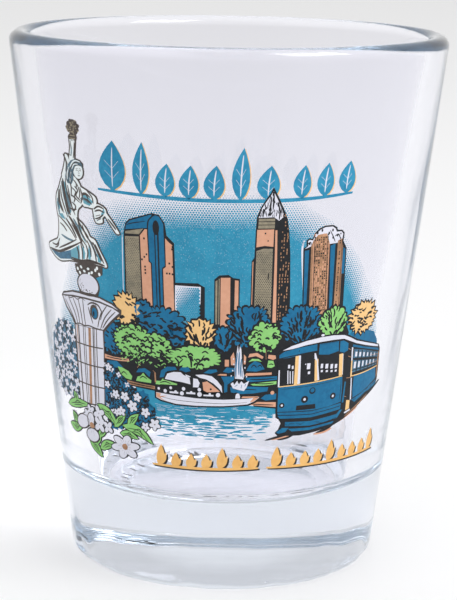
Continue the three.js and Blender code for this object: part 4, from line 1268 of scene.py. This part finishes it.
# A standing figure of our own: a robe that blows back, an arm held up with a torch
# and an arm stretched forward with a short staff.
statue = {
    "torch": (-15.88, 50.95, 0.88, 0.92),
    "cuff": [(-16.4, 50.2), (-16.6, 49.85), (-16.5, 49.45), (-15.55, 49.45), (-15.4, 49.85), (-15.45, 50.2)],
    "raisedArm": [(-16.42, 49.6), (-16.4, 48.9), (-16.55, 48.1), (-16.72, 47.4), (-16.6, 46.6),
                  (-16.05, 46.6),
                  (-15.98, 47.6), (-15.85, 48.6), (-15.72, 49.6)],
    "sleeve": [(-17.3, 47.95), (-16.95, 47.85), (-16.7, 47.1), (-16.7, 45.6), (-18.1, 45.4), (-17.75, 46.3),
               (-17.4, 47.2)],
    "head": (-15.62, 46.35, 0.68, 0.88),
    "hair": [(-14.92, 46.6), (-14.95, 47.1), (-15.3, 47.42), (-15.9, 47.55), (-16.5, 47.35), (-16.95, 46.9),
             (-17.35, 46.2), (-17.6, 45.4), (-17.3, 44.8), (-16.7, 44.75), (-16.35, 45.3), (-16.25, 46.2),
             (-15.95, 46.75), (-15.5, 46.95), (-15.1, 46.85)],
    "body": [(-18.05, 45.5), (-18.45, 44.85), (-18.85, 44.1), (-19.4, 43.3), (-19.62, 42.3), (-19.6, 41.4),
             (-19.5, 40.6), (-19.65, 39.4), (-20.1, 38.35), (-20.9, 38.0), (-21.5, 37.75), (-22.15, 37.45),
             (-22.2, 37.0), (-21.4, 36.4), (-20.8, 36.1), (-19.9, 35.92), (-18.8, 36.1), (-18.0, 36.25),
             (-16.3, 36.3), (-15.2, 36.55), (-14.1, 36.35), (-13.4, 36.3), (-12.85, 36.2), (-12.8, 36.6),
             (-13.5, 37.9), (-14.05, 39.0), (-14.7, 39.3), (-15.05, 39.95), (-15.65, 40.6), (-16.3, 41.1),
             (-16.1, 42.1), (-15.5, 42.65), (-15.3, 43.6), (-15.45, 44.7), (-15.9, 45.4), (-16.4, 45.7),
             (-17.3, 45.6)],
    "forwardArm": [(-15.6, 44.7), (-14.75, 44.35), (-14.1, 44.05), (-13.6, 43.75), (-13.45, 43.25),
                   (-13.7, 42.7),
                   (-14.1, 42.5), (-14.6, 42.55), (-15.4, 42.75)],
    "hand": [(-14.0, 42.4), (-13.5, 43.0), (-12.9, 42.9), (-12.4, 42.55), (-12.4, 42.0), (-12.85, 41.6),
             (-12.9, 41.1), (-13.55, 40.95), (-13.85, 41.3)],
    "staff": [(-12.65, 42.05), (-12.35, 42.2), (-11.0, 40.3), (-11.12, 40.08), (-11.4, 40.25)],
    "frill": [(-17.4, 35.95), (-17.3, 35.2), (-16.9, 34.75), (-16.2, 35.1), (-15.2, 35.2), (-14.3, 34.9),
              (-13.5, 35.3), (-13.4, 36.2), (-15.3, 36.4)],
    "folds": [
        [(-19.5, 41.0), (-18.6, 40.5), (-17.7, 39.8), (-16.8, 38.75)], [(-19.3, 40.2), (-18.7, 39.9),
                                                                        (-18.2, 39.4)],
        [(-22.1, 37.0), (-20.2, 36.95), (-18.8, 37.4), (-16.9, 38.15), (-16.2, 38.5)],
        [(-20, 37.3), (-18.4, 37.95), (-16.75, 38.72)], [(-21.4, 37.6), (-20.4, 37.6), (-19.7, 38.4)],
        [(-18.3, 44.8), (-18.0, 43.4), (-17.9, 42.2), (-17.6, 41.2)], [(-18.75, 44.0), (-18.9, 42.7),
                                                                       (-18.4, 41.4)],
        [(-17.7, 41.2), (-16.9, 40.2), (-16.2, 39.2), (-15.4, 38.3)], [(-16.3, 41.0), (-16.0, 39.8),
                                                                       (-15.2, 38.6)],
        [(-15.7, 40.5), (-15.2, 39.3), (-14.3, 38.5)], [(-16.2, 38.6), (-16.0, 37.5), (-16.1, 36.5)],
        [(-15.4, 38.4), (-15.2, 37.5), (-15.5, 36.6)], [(-14.6, 38.7), (-14.2, 37.6), (-14.1, 36.5)],
        [(-14.1, 38.6), (-13.5, 37.4), (-13.1, 36.6)], [(-17.6, 45.3), (-17.6, 44.2), (-17.1, 42.6),
                                                        (-16.6, 41.4)],
        [(-17, 43.6), (-16.4, 43.3), (-16.6, 42.8)], [(-17.4, 42.1), (-16.8, 42.0), (-16.3, 42.1)],
        [(-16.3, 44.6), (-15.9, 44.2), (-16.2, 43.6), (-15.6, 43.1)], [(-15.4, 43.9), (-14.8, 44.0),
                                                                       (-14.2, 43.6)],
        [(-15.2, 43.4), (-14.6, 43.3), (-14.1, 42.9)], [(-15.6, 42.8), (-15.3, 43.6), (-15.55, 44.6)],
        [(-13.8, 42.2), (-13.2, 42.4), (-12.6, 42.2)], [(-13.7, 41.7), (-13.1, 41.9)], [(-13.5, 41.3),
                                                                                        (-13.0, 41.5)],
        [(-12.2, 41.6), (-11.6, 40.9), (-11.3, 40.5)], [(-16.9, 48.0), (-16.4, 47.9)], [(-17.3, 47.6),
                                                                                        (-17.0, 46.8)],
        [(-16.3, 49.5), (-16.25, 48.6)], [(-18.0, 36.6), (-16.3, 36.5), (-15, 36.7), (-13.2, 36.45)],
    ],
    "strands": [
        ([(-15.2, 47.3), (-15.8, 47.4), (-16.3, 47.15), (-16.7, 46.6)], 0.16), ([(-15.5, 47.05),
                                                                                 (-16.1, 46.95),
                                                                                 (-16.45, 46.4)], 0.12),
        ([(-16.9, 46.6), (-17.2, 45.9), (-17.3, 45.2)], 0.14), ([(-16.6, 46.1), (-16.8, 45.5),
                                                                 (-16.9, 44.95)], 0.12),
    ],
    "curls": [
        ([(-15.2, 47.2), (-15.9, 47.2), (-16.5, 46.7)], 0.1), ([(-16.2, 47.0), (-16.8, 46.2), (-17.1, 45.4)],
                                                               0.12),
        ([(-16.5, 46.2), (-16.8, 45.5), (-16.6, 44.9)], 0.12), ([(-17.0, 46.5), (-17.4, 45.6),
                                                                 (-17.2, 45.0)], 0.1),
        ([(-15.0, 46.9), (-15.5, 46.95), (-16.0, 46.75), (-16.3, 46.1)], 0.08),
    ],
    "hatch": [
        ([(-18.2, 44.9), (-18.05, 43.7), (-17.95, 42.6)], 0.5), ([(-17.6, 43.9), (-17.4, 42.7),
                                                                  (-17.2, 41.7)], 0.36),
        ([(-19.3, 42.9), (-19.3, 41.9), (-19.2, 41.1)], 0.26), ([(-16.95, 41.0), (-16.2, 40.0),
                                                                 (-15.6, 39.0)], 0.3),
        ([(-15.0, 39.2), (-14.4, 38.2), (-13.9, 37.2)], 0.26), ([(-15.6, 43.3), (-15.1, 43.4),
                                                                 (-14.4, 43.0)], 0.34),
        ([(-16.3, 49.3), (-16.25, 48.5), (-16.4, 47.8)], 0.16), ([(-13.6, 41.2), (-13.1, 41.5)], 0.25),
        ([(-19.3, 38.9), (-18.2, 38.6), (-17.2, 38.5)], 0.26), ([(-17.3, 47.6), (-17.2, 46.8),
                                                                 (-17.4, 46.1)], 0.2),
    ],
    "darks": [
        ([(-18.5, 44.4), (-18.55, 43.2), (-18.2, 42.0), (-17.8, 41.0)], 0.2), ([(-17.0, 45.2), (-16.8, 44.4),
                                                                                (-16.95, 43.4)], 0.18),
        ([(-16.4, 45.3), (-16.0, 44.9), (-16.1, 44.3)], 0.16), ([(-16.9, 42.8), (-16.4, 42.4),
                                                                 (-16.7, 41.8)], 0.18),
        ([(-15.9, 44.9), (-15.6, 44.0), (-15.8, 43.3)], 0.16), ([(-17.3, 40.4), (-16.4, 39.2),
                                                                 (-15.7, 37.9)], 0.22),
        ([(-16.8, 38.0), (-16.6, 37.2), (-16.7, 36.6)], 0.24), ([(-14.4, 38.8), (-13.8, 37.7),
                                                                 (-13.4, 36.8)], 0.22),
        ([(-15.2, 38.9), (-14.8, 38.0), (-14.8, 37.1)], 0.18), ([(-20.9, 37.2), (-20.2, 37.5),
                                                                 (-19.9, 38.2)], 0.16),
        ([(-18.05, 45.2), (-17.95, 43.6), (-17.75, 42.4), (-17.35, 41.3)], 0.42),
        ([(-17.35, 44.6), (-17.15, 43.2), (-16.9, 41.8)], 0.2), ([(-17.6, 41.2), (-16.6, 40.0),
                                                                  (-15.9, 38.6)], 0.34),
        ([(-18.2, 40.9), (-17.3, 39.9), (-16.7, 38.9)], 0.26), ([(-18.9, 43.9), (-19.1, 42.6),
                                                                 (-18.6, 41.5)], 0.22),
        ([(-16.4, 41.2), (-15.8, 40.2), (-14.9, 39.2)], 0.24), ([(-22.1, 36.95), (-20.2, 36.85),
                                                                 (-18.6, 37.35), (-16.5, 38.3)], 0.2),
        ([(-18.0, 36.4), (-16.3, 36.35), (-15, 36.6), (-13.0, 36.35)], 0.3), ([(-14.6, 44.3), (-14.0, 43.7),
                                                                               (-13.9, 43.0)], 0.16),
        ([(-15.4, 43.7), (-14.8, 43.9), (-14.5, 43.4)], 0.18), ([(-13.9, 42.4), (-13.3, 42.8),
                                                                 (-12.6, 42.6)], 0.2),
        ([(-13.8, 41.4), (-13.2, 41.6), (-12.7, 42.0)], 0.18), ([(-16.7, 44.4), (-16.2, 44.0), (-16.4, 43.4),
                                                                 (-15.7, 42.9)], 0.16),
        ([(-17.6, 47.9), (-17.2, 47.0), (-17.4, 46.0)], 0.16), ([(-15.75, 49.4), (-15.9, 48.4),
                                                                 (-16.1, 47.6)], 0.14),
    ],
    "underside": [(-21.9, 36.85), (-20.2, 36.72), (-18.8, 37.12), (-17.9, 37.4), (-17.9, 36.4), (-20, 36.08),
                  (-21, 36.38)],
    "puffs": [(-17.0, 35.5), (-16.45, 35.75), (-16.0, 35.35), (-15.4, 35.7), (-14.9, 35.35), (-14.35, 35.7),
              (-13.85, 35.3),
              (-16.7, 35.1), (-15.3, 35.2), (-14.1, 35.95)],
    "shade": [
        [(-17.9, 37.4), (-17.0, 37.85), (-16.4, 38.2), (-16.5, 36.6), (-17.9, 36.45)],
        [(-18.0, 44.9), (-17.75, 44.9), (-17.6, 43), (-17.2, 41.6), (-17.8, 41.3), (-18.1, 42.6)],
        [(-19.4, 41.2), (-18.7, 41.3), (-18.2, 40.7), (-18.9, 40.8)], [(-19.5, 42.4), (-19.1, 43.2),
                                                                       (-19.0, 41.8), (-19.4, 41.5)],
        [(-16.2, 40.6), (-15.9, 39.2), (-15.3, 38.4), (-15.8, 39.6), (-15.9, 40.6)],
        [(-15.9, 38.3), (-15.6, 37.4), (-15.75, 36.7), (-16.0, 36.7), (-16.0, 37.6)],
        [(-15.0, 38.3), (-14.75, 37.4), (-14.9, 36.8), (-15.2, 36.8), (-15.2, 37.6)],
        [(-13.9, 38.0), (-13.4, 37.1), (-13.5, 36.6), (-13.9, 36.7), (-13.9, 37.4)],
        [(-16.6, 46.2), (-17.2, 45.6), (-17.3, 45.0), (-16.7, 45.0), (-16.5, 45.5)],
        [(-15.3, 43.9), (-14.6, 43.8), (-13.9, 43.2), (-14.4, 42.7), (-15.2, 42.9)],
        [(-12.6, 42.7), (-12.5, 42.2), (-13.1, 41.6), (-12.9, 42.2)],
    ],
}


# The face, as shares of the head's half width and half height from the middle of the face: eyes
# halfway down, the nose between them and the chin, the mouth below it, and the brows
face = [
    ([(-0.52, 0), (-0.34, 0.06), (-0.16, 0)], 0.07, 0.6),
    ([(0.16, 0), (0.34, 0.06), (0.52, 0)], 0.07, 0.6),
    ([(0, 0.05), (0.08, -0.34), (-0.04, -0.38)], 0.05),
    ([(-0.22, -0.58), (0, -0.61), (0.22, -0.58)], 0.07, 0.6),
    ([(-0.56, 0.2), (-0.3, 0.27), (-0.12, 0.22)], 0.05),
    ([(0.12, 0.22), (0.3, 0.27), (0.56, 0.2)], 0.05),
]


def faceLines(u, z, wide, tall):
    middle = u + wide * 0.16  # the head is turned a little
    return [stroke([(middle + wide * a, z + tall * b) for a, b in points], *look) for points, *look in face]


def makeStatue(part):
    u, z, wide, tall = part["head"]
    robes = [part[name] for name in ("raisedArm", "sleeve", "body", "forwardArm", "hand", "staff")]
    smoothRobes = [smoothLine(robe + robe[:1], 3)[:-1] for robe in robes]
    dark = [grown(robe, 0.16) for robe in smoothRobes] + [oval(u, z, wide + 0.14, tall + 0.14, 18)]
    printInk("statueShadow", "umber", 19, dark, None, [grown(part["frill"], 0.05), grown(part["hair"], 0.12)])
    printInk("statueFigure", "mint", 21, smoothRobes, "statue_figure")
    printInk("statueFace", "mint", 22, [oval(u, z, wide, tall, 18)])
    printInk("statueTorch", "umber", 21, [leafy(*part["torch"], 11, 8), part["cuff"]], "statue_torch")
    dice = random.Random(23)
    flames = []
    for _ in range(34):
        turn, share = dice.uniform(0, 6.28), math.sqrt(dice.uniform(0, 0.8))
        across, up = 0.9 * share * math.cos(turn), 0.9 * share * math.sin(turn)
        flames.append(oval(part["torch"][0] + across, part["torch"][1] + up, 0.11, 0.07, 7, turn))
    printInk("statueFlame", "taupe", 22, flames + [box(-16.4, 49.7, -15.6, 49.8),
                                                   box(-16.3, 50.0, -15.6, 50.1)])
    printInk("statueHair", "slate", 23, [part["hair"]])
    printInk("statueHairShine", "mint", 24, strokes(part["strands"]))
    printInk("statueShade", "teal", 22, part["shade"])
    printInk("statueHatch", "slate", 23, strokes(part["hatch"]))
    printInk("statueUnderside", "steel", 22, [part["underside"]])
    printInk("statueFrill", "mint", 22, [oval(a, b, 0.2, 0.15, 9, a) for a, b in part["puffs"]])
    lines = evenStrokes(part["folds"], 0.19, 0.4) + strokes(part["darks"]) + strokes(part["curls"])
    printInk("statueLines", "umber", 24, lines + faceLines(u, z, wide, tall))


makeStatue(statue)
print("column and statue printed")


# hedges and flowers at the column's foot

hedges = {
    "left": {
        "outline": [(-19.0, 28.8), (-20.2, 29.0), (-21.6, 28.9), (-22.8, 28.2), (-23.9, 27.2), (-24.3, 26.0),
                    (-24.2, 24.9), (-25.0, 23.6), (-24.8, 22.4), (-24.4, 21.4), (-22.9, 20.5), (-20.6, 20.2),
                    (-19.0, 20.0)],
        "ink": "steel", "node": "hedge_left", "blooms": 40, "bloomSize": 0.58, "leaves": 380, "seed": 41,
    },
    "right": {
        "outline": [(-14.2, 25.4), (-13.2, 25.2), (-12.2, 24.4), (-11.2, 23.4), (-10.2, 22.9), (-9.2, 22.7),
                    (-8.6, 22.2), (-8.5, 21.3), (-7.9, 20.9), (-7.8, 20.0), (-8.3, 19.4), (-9.9, 18.6),
                    (-12, 18.2),
                    (-14.4, 18.6)],
        "ink": "blue", "node": "hedge_right", "blooms": 8, "bloomSize": 0.34, "leaves": 400, "seed": 43,
    },
}


def petals(u, z, size, count, turn, spread=1.0, squash=1.0):
    outlines = []
    for i in range(count):
        here = turn + 2 * math.pi * i / count
        across, up = math.cos(here) * size * 0.52, math.sin(here) * size * 0.52
        petal = oval(u + across, up, size * 0.47, size * 0.36 * spread, 12, here)
        outlines.append([(a, z + b * squash) for a, b in petal])
    return outlines


def makeHedge(name, part):
    dice = random.Random(part["seed"])
    outline = part["outline"]
    low, high = min(u for u, z in outline), max(u for u, z in outline)
    ragged = []
    for u, z in smoothLine(outline + outline[:1], 8)[:-1]:
        reach, turn = dice.uniform(0, 0.42), dice.uniform(0, 6.28)
        ragged.append((u + reach * math.cos(turn), z + reach * math.sin(turn)))
    printInk(name + "Hedge", part["ink"], 18, [ragged], part["node"])
    curls, blooms, hearts = [], [], []
    while len(curls) < part["leaves"]:
        u, z = dice.uniform(low, high), dice.uniform(18, 29)
        if isInside(outline, u, z):
            reach, turn = dice.uniform(0.14, 0.26), dice.uniform(0, 6.28)
            arc = [(u + reach * math.cos(turn + k), z + reach * math.sin(turn + k)) for k in (0, 1.1, 2.3)]
            curls.append(stroke(arc, 0.17, 0.5, 2))
    spots = []
    while len(spots) < part["blooms"]:
        u, z = dice.uniform(low, high), dice.uniform(18.6, 28.6)
        if isInside(outline, u, z) and all(math.hypot(u - a, z - b) > 0.85 for a, b in spots):
            spots.append((u, z))
            size = part["bloomSize"]
            blooms += petals(u, z, dice.uniform(0.7, 1.1) * size, 4, dice.uniform(0, 1.5),
                             dice.uniform(0.7, 1.2))
            hearts.append(oval(u, z, 0.07, 0.07, 6))
    printInk(name + "HedgeCurls", "black", 19, curls)
    return blooms, hearts


def makeHedges():
    for name, part in hedges.items():
        blooms, hearts = makeHedge(name, part)
        printInk(name + "HedgeBlooms", "white", 20, blooms)
        printInk(name + "HedgeHearts", "umber", 21, hearts)


makeHedges()

flowers = {
    # from, to, width, bend
    "leavesLeft": [(-22.0, 19.2, -17.2, 20.0, 1.0, 0.15), (-19.6, 19.9, -20.2, 21.0, 0.8, 0),
                   (-20.2, 17.4, -21.0, 18.5, 0.9, 0),
                   (-22.0, 16.9, -19.0, 17.2, 1.0, -0.3), (-17.9, 16.0, -15.7, 14.2, 1.1, 0.1)],
    "leavesRight": [(-15.8, 20.4, -12.8, 18.2, 1.0, 0.35), (-13.4, 18.2, -11.6, 20.0, 0.8, 0),
                    (-11.4, 18.6, -9.9, 20.2, 0.9, 0.1),
                    (-12.2, 18.6, -8.2, 16.9, 1.0, 0.5), (-12.6, 17.6, -10.1, 17.3, 0.8, 0.2),
                    (-16.0, 15.2, -13.4, 16.2, 1.0, 0.2),
                    (-16.2, 16.6, -14.6, 17.8, 0.8, 0), (-15.9, 17.0, -16.4, 15.6, 0.7, 0)],
    "buds": [(-17.2, 19.35, 0.75), (-15.75, 19.3, 0.95), (-18.0, 18.7, 0.7), (-15.8, 18.0, 1.0),
             (-14.4, 17.95, 0.8)],
    "petalsLeft": [(-18.9, 17.8, 1.25, 0.8, 0.3), (-17.3, 18.3, 0.85, 0.62, 1.3),
                   (-17.2, 16.5, 1.15, 0.8, 0.1)],
    "heartLeft": (-17.2, 17.65),
    "heartRight": (-12.05, 16.1),
    "small": [(-7.9, 19.25, 0.72), (-9.1, 18.85, 0.55), (-9.0, 20.5, 0.6), (-10.65, 21.0, 0.7),
              (-11.6, 21.95, 0.62),
              (-12.85, 22.05, 0.55), (-9.95, 22.1, 0.55), (-12.2, 20.2, 0.6), (-13.95, 23.0, 0.45),
              (-13.6, 25.0, 0.5),
              (-12.9, 19.95, 0.45)],
}


def makeLeaves(name, leaves, node):
    dark, fill, veins = [], [], []
    for fromU, fromZ, toU, toZ, width, bend in leaves:
        shape = leaf(fromU, fromZ, toU, toZ, width, bend)
        dark.append(grown(shape, 0.12))
        fill.append(shape)
        foot, along = Vector((fromU, fromZ)), Vector((toU - fromU, toZ - fromZ))
        side = Vector((-along.y, along.x)).normalized()
        for offset in (-0.18, 0.04, 0.24):
            shift = side * offset * width
            start = foot + along * (0.12 + abs(offset)) + shift * 0.6
            end = foot + along * (0.88 - abs(offset)) + shift * 0.6
            middle = (start + end) / 2 + side * bend + shift * 0.5
            veins.append(stroke([tuple(start), tuple(middle), tuple(end)], 0.1))
    printInk(name + "Shadow", "black", 22, dark)
    printInk(name, "green", 23, fill, node)
    printInk(name + "Veins", "black", 24, veins)


def makeFlowers(part):
    makeLeaves("leafSprayLeft", part["leavesLeft"], "leaf_spray_left")
    makeLeaves("leafSprayRight", part["leavesRight"], "leaf_spray_right")
    left, dark, rays = [], [], []
    for u, z, wide, tall, lean in part["petalsLeft"]:
        left.append(oval(u, z, wide, tall, 18, lean))
    for u, z, size in part["buds"]:
        left += petals(u, z, size, 4, size * 7, 0.92)
    right = petals(*part["heartRight"], 2.1, 6, 0.25, 0.78, 0.68)
    for shape in left + right:
        dark.append(grown(shape, 0.11))
    hearts = [leafy(*part["heartLeft"], 0.42, 0.36, 8, 2), leafy(*part["heartRight"], 0.42, 0.38, 8, 6)]
    for u, z in (part["heartLeft"], part["heartRight"]):
        for i in range(14):
            turn = i * 0.45
            inner, outer = 0.5, 0.8 + 0.2 * (i % 3)
            ends = [(u + reach * math.cos(turn), z + reach * math.sin(turn)) for reach in (inner, outer)]
            rays.append(stroke(ends, 0.06, 0.3))
    rays += [line for shape in left[:len(part["petalsLeft"])] for line in ring(shape)]
    small, smallDark = [], []
    for u, z, size in part["small"]:
        shapes = petals(u, z, size, 5, u, 0.88)
        small += shapes
        smallDark += [grown(shape, 0.09) for shape in shapes]
        rays.append(oval(u, z, size * 0.12, size * 0.12, 7))
    printInk("blossomShadow", "black", 25, dark + smallDark)
    printInk("blossomLeft", "white", 26, left, "blossom_left")
    printInk("blossomRight", "white", 26, right, "blossom_right")
    printInk("blossomSmall", "white", 26, small)
    printInk("blossomHearts", "copper", 28, hearts)
    printInk("blossomRays", "umber", 27, rays)


makeFlowers(flowers)
print("flowers printed")


# vines above and below the picture

blueVine = {
    "stem": [(-13.2, 44.7), (-9, 44.55), (-4, 44.35), (0, 44.3), (5, 44.35), (9, 44.5), (12.8, 44.8)],
    # u, how far it rises, width
    "leaves": [(-11.4, 5.4, 3.0), (-8.3, 5.6, 1.7), (-5.9, 3.6, 1.9), (-3.6, 3.6, 1.9), (-1.2, 3.7, 2.0),
               (1.3, 5.6, 1.7),
               (3.9, 3.7, 2.2), (7.2, 3.6, 1.8), (9.6, 3.6, 1.8), (12.0, 3.5, 1.9)],
}


def makeBlueVine(part):
    shapes, shadow, veins = [stroke(part["stem"], 0.42, 0.5)], [], []
    for u, rise, width in part["leaves"]:
        foot = heightAt(part["stem"], u)
        shapes.append(leaf(u, foot, u + 0.25, foot + rise, width, 0.1))
        shadow.append([(a + 0.1, b - 0.1) for a, b in shapes[-1]])
        veins.append(stroke([(u, foot + 0.5), (u + 0.05, foot + rise * 0.5), (u + 0.2, foot + rise * 0.86)],
                            0.14))
        for side in (-1, 1):
            for share in (0.35, 0.55):
                start = (u + 0.06, foot + rise * (share - 0.1))
                veins.append(stroke([start, (u + side * width * 0.26, foot + rise * (share + 0.05))], 0.09))
    printInk("blueVineShadow", "straw", -1, shadow)
    printInk("blueVine", "azure", 0, shapes, "blue_vine")
    printInk("blueVineVeins", "white", 1, veins)


makeBlueVine(blueVine)

goldVines = {
    "left": {"start": -8.4, "end": 4.2, "leaves": 7, "node": "gold_vine_left"},
    "right": {"start": 5.2, "end": 21.6, "leaves": 9, "node": "gold_vine_right"},
}
goldStem = {"middle": 14.6, "ends": 14.7}  # heights, as the stems sag a little


def makeGoldVines():
    low, high = goldStem["middle"], goldStem["ends"]
    for name, part in goldVines.items():
        pitch = (part["end"] - part["start"]) / part["leaves"]
        middle = (part["start"] + part["end"]) / 2
        stem = [(part["start"], high), (middle, low), (part["end"], high)]
        shapes = [stroke(stem, 0.3, 0.6)]
        for i in range(part["leaves"]):
            u = part["start"] + (i + 0.45) * pitch
            rise = 2.5 if i % 4 == 0 else 1.7
            shapes.append(leaf(u, low, u + 0.35, low + rise, 1.0, -0.08))
            shapes.append(leaf(u + 0.1, high, u + 0.95, high + rise * 0.6, 0.55, -0.12))
        shadow = [[(u + 0.2, z - 0.16) for u, z in shape] for shape in shapes]
        printInk(name + "GoldVineShadow", "black", 1, shadow)
        printInk(name + "GoldVine", "gold", 2, shapes, part["node"])


makeGoldVines()
print("vines printed")


# light and stage

studio = {
    "floorColor": (0.95, 0.95, 0.953, 1),
    "floorSize": 2,
    "floorDrop": 0.03,  # clear of the foot's own face
    # share of the way to the backdrop, brightness: brightest behind the glass, darkest behind the camera
    "darkest": 0.65,
    "levels": [(0.2, 0.8), (0.94, 0.8), (0.987, 1)],
    "keyPlace": (0.4, -0.3, 0.6),
    "keyAim": (0, 0, 0.03),
    "keySize": 0.4,
    "keyPower": 2.6,
    "bounces": 96,  # light is passed on many times inside thick glass
}


def makeFloor(part):
    bm = bmesh.new()
    bmesh.ops.create_grid(bm, x_segments=2, y_segments=2, size=part["floorSize"])
    bmesh.ops.translate(bm, vec=(0, 0, -part["floorDrop"] * mm), verts=bm.verts)
    material = newMaterial("paleFloor", {"Base Color": part["floorColor"], "Roughness": 0.9})[0]
    floor = keepMesh(bm, "paleFloor", material)


def makeWorld(part):
    world = bpy.data.worlds.new("studio")
    scene.world = world
    world.use_nodes = True
    tree = world.node_tree
    place = addNode(tree, "ShaderNodeTexCoord")
    parts = addNode(tree, "ShaderNodeSeparateXYZ")
    turn = addNode(tree, "ShaderNodeMapRange", {"From Min": -1})
    dim = addNode(tree, "ShaderNodeValToRGB")
    stops = dim.color_ramp.elements
    stops.remove(stops[1])
    for share, level in part["levels"]:
        stops.new(share).color = (level, level, level, 1)
    stops[0].color = (part["darkest"], part["darkest"], part["darkest"], 1)
    wire(
        tree,
        (place.outputs["Generated"], parts.inputs["Vector"]),
        (parts.outputs["Y"], turn.inputs["Value"]),
        (turn.outputs["Result"], dim.inputs["Fac"]),
        (dim.outputs["Color"], tree.nodes["Background"].inputs["Color"]),
    )


def makeKeyLight(part):
    data = bpy.data.lights.new("softKey", "AREA")
    data.energy = part["keyPower"]
    data.size = part["keySize"]
    lamp = bpy.data.objects.new("softKey", data)
    place = Vector(part["keyPlace"])
    lamp.location = place
    lamp.rotation_euler = (Vector(part["keyAim"]) - place).to_track_quat("-Z", "Y").to_euler()
    scene.collection.objects.link(lamp)


makeFloor(studio)
makeWorld(studio)
makeKeyLight(studio)
scene.view_settings.view_transform = "Standard"
scene.cycles.max_bounces = studio["bounces"]
scene.cycles.transmission_bounces = studio["bounces"]
scene.cycles.glossy_bounces = studio["bounces"]
print("stage lit")
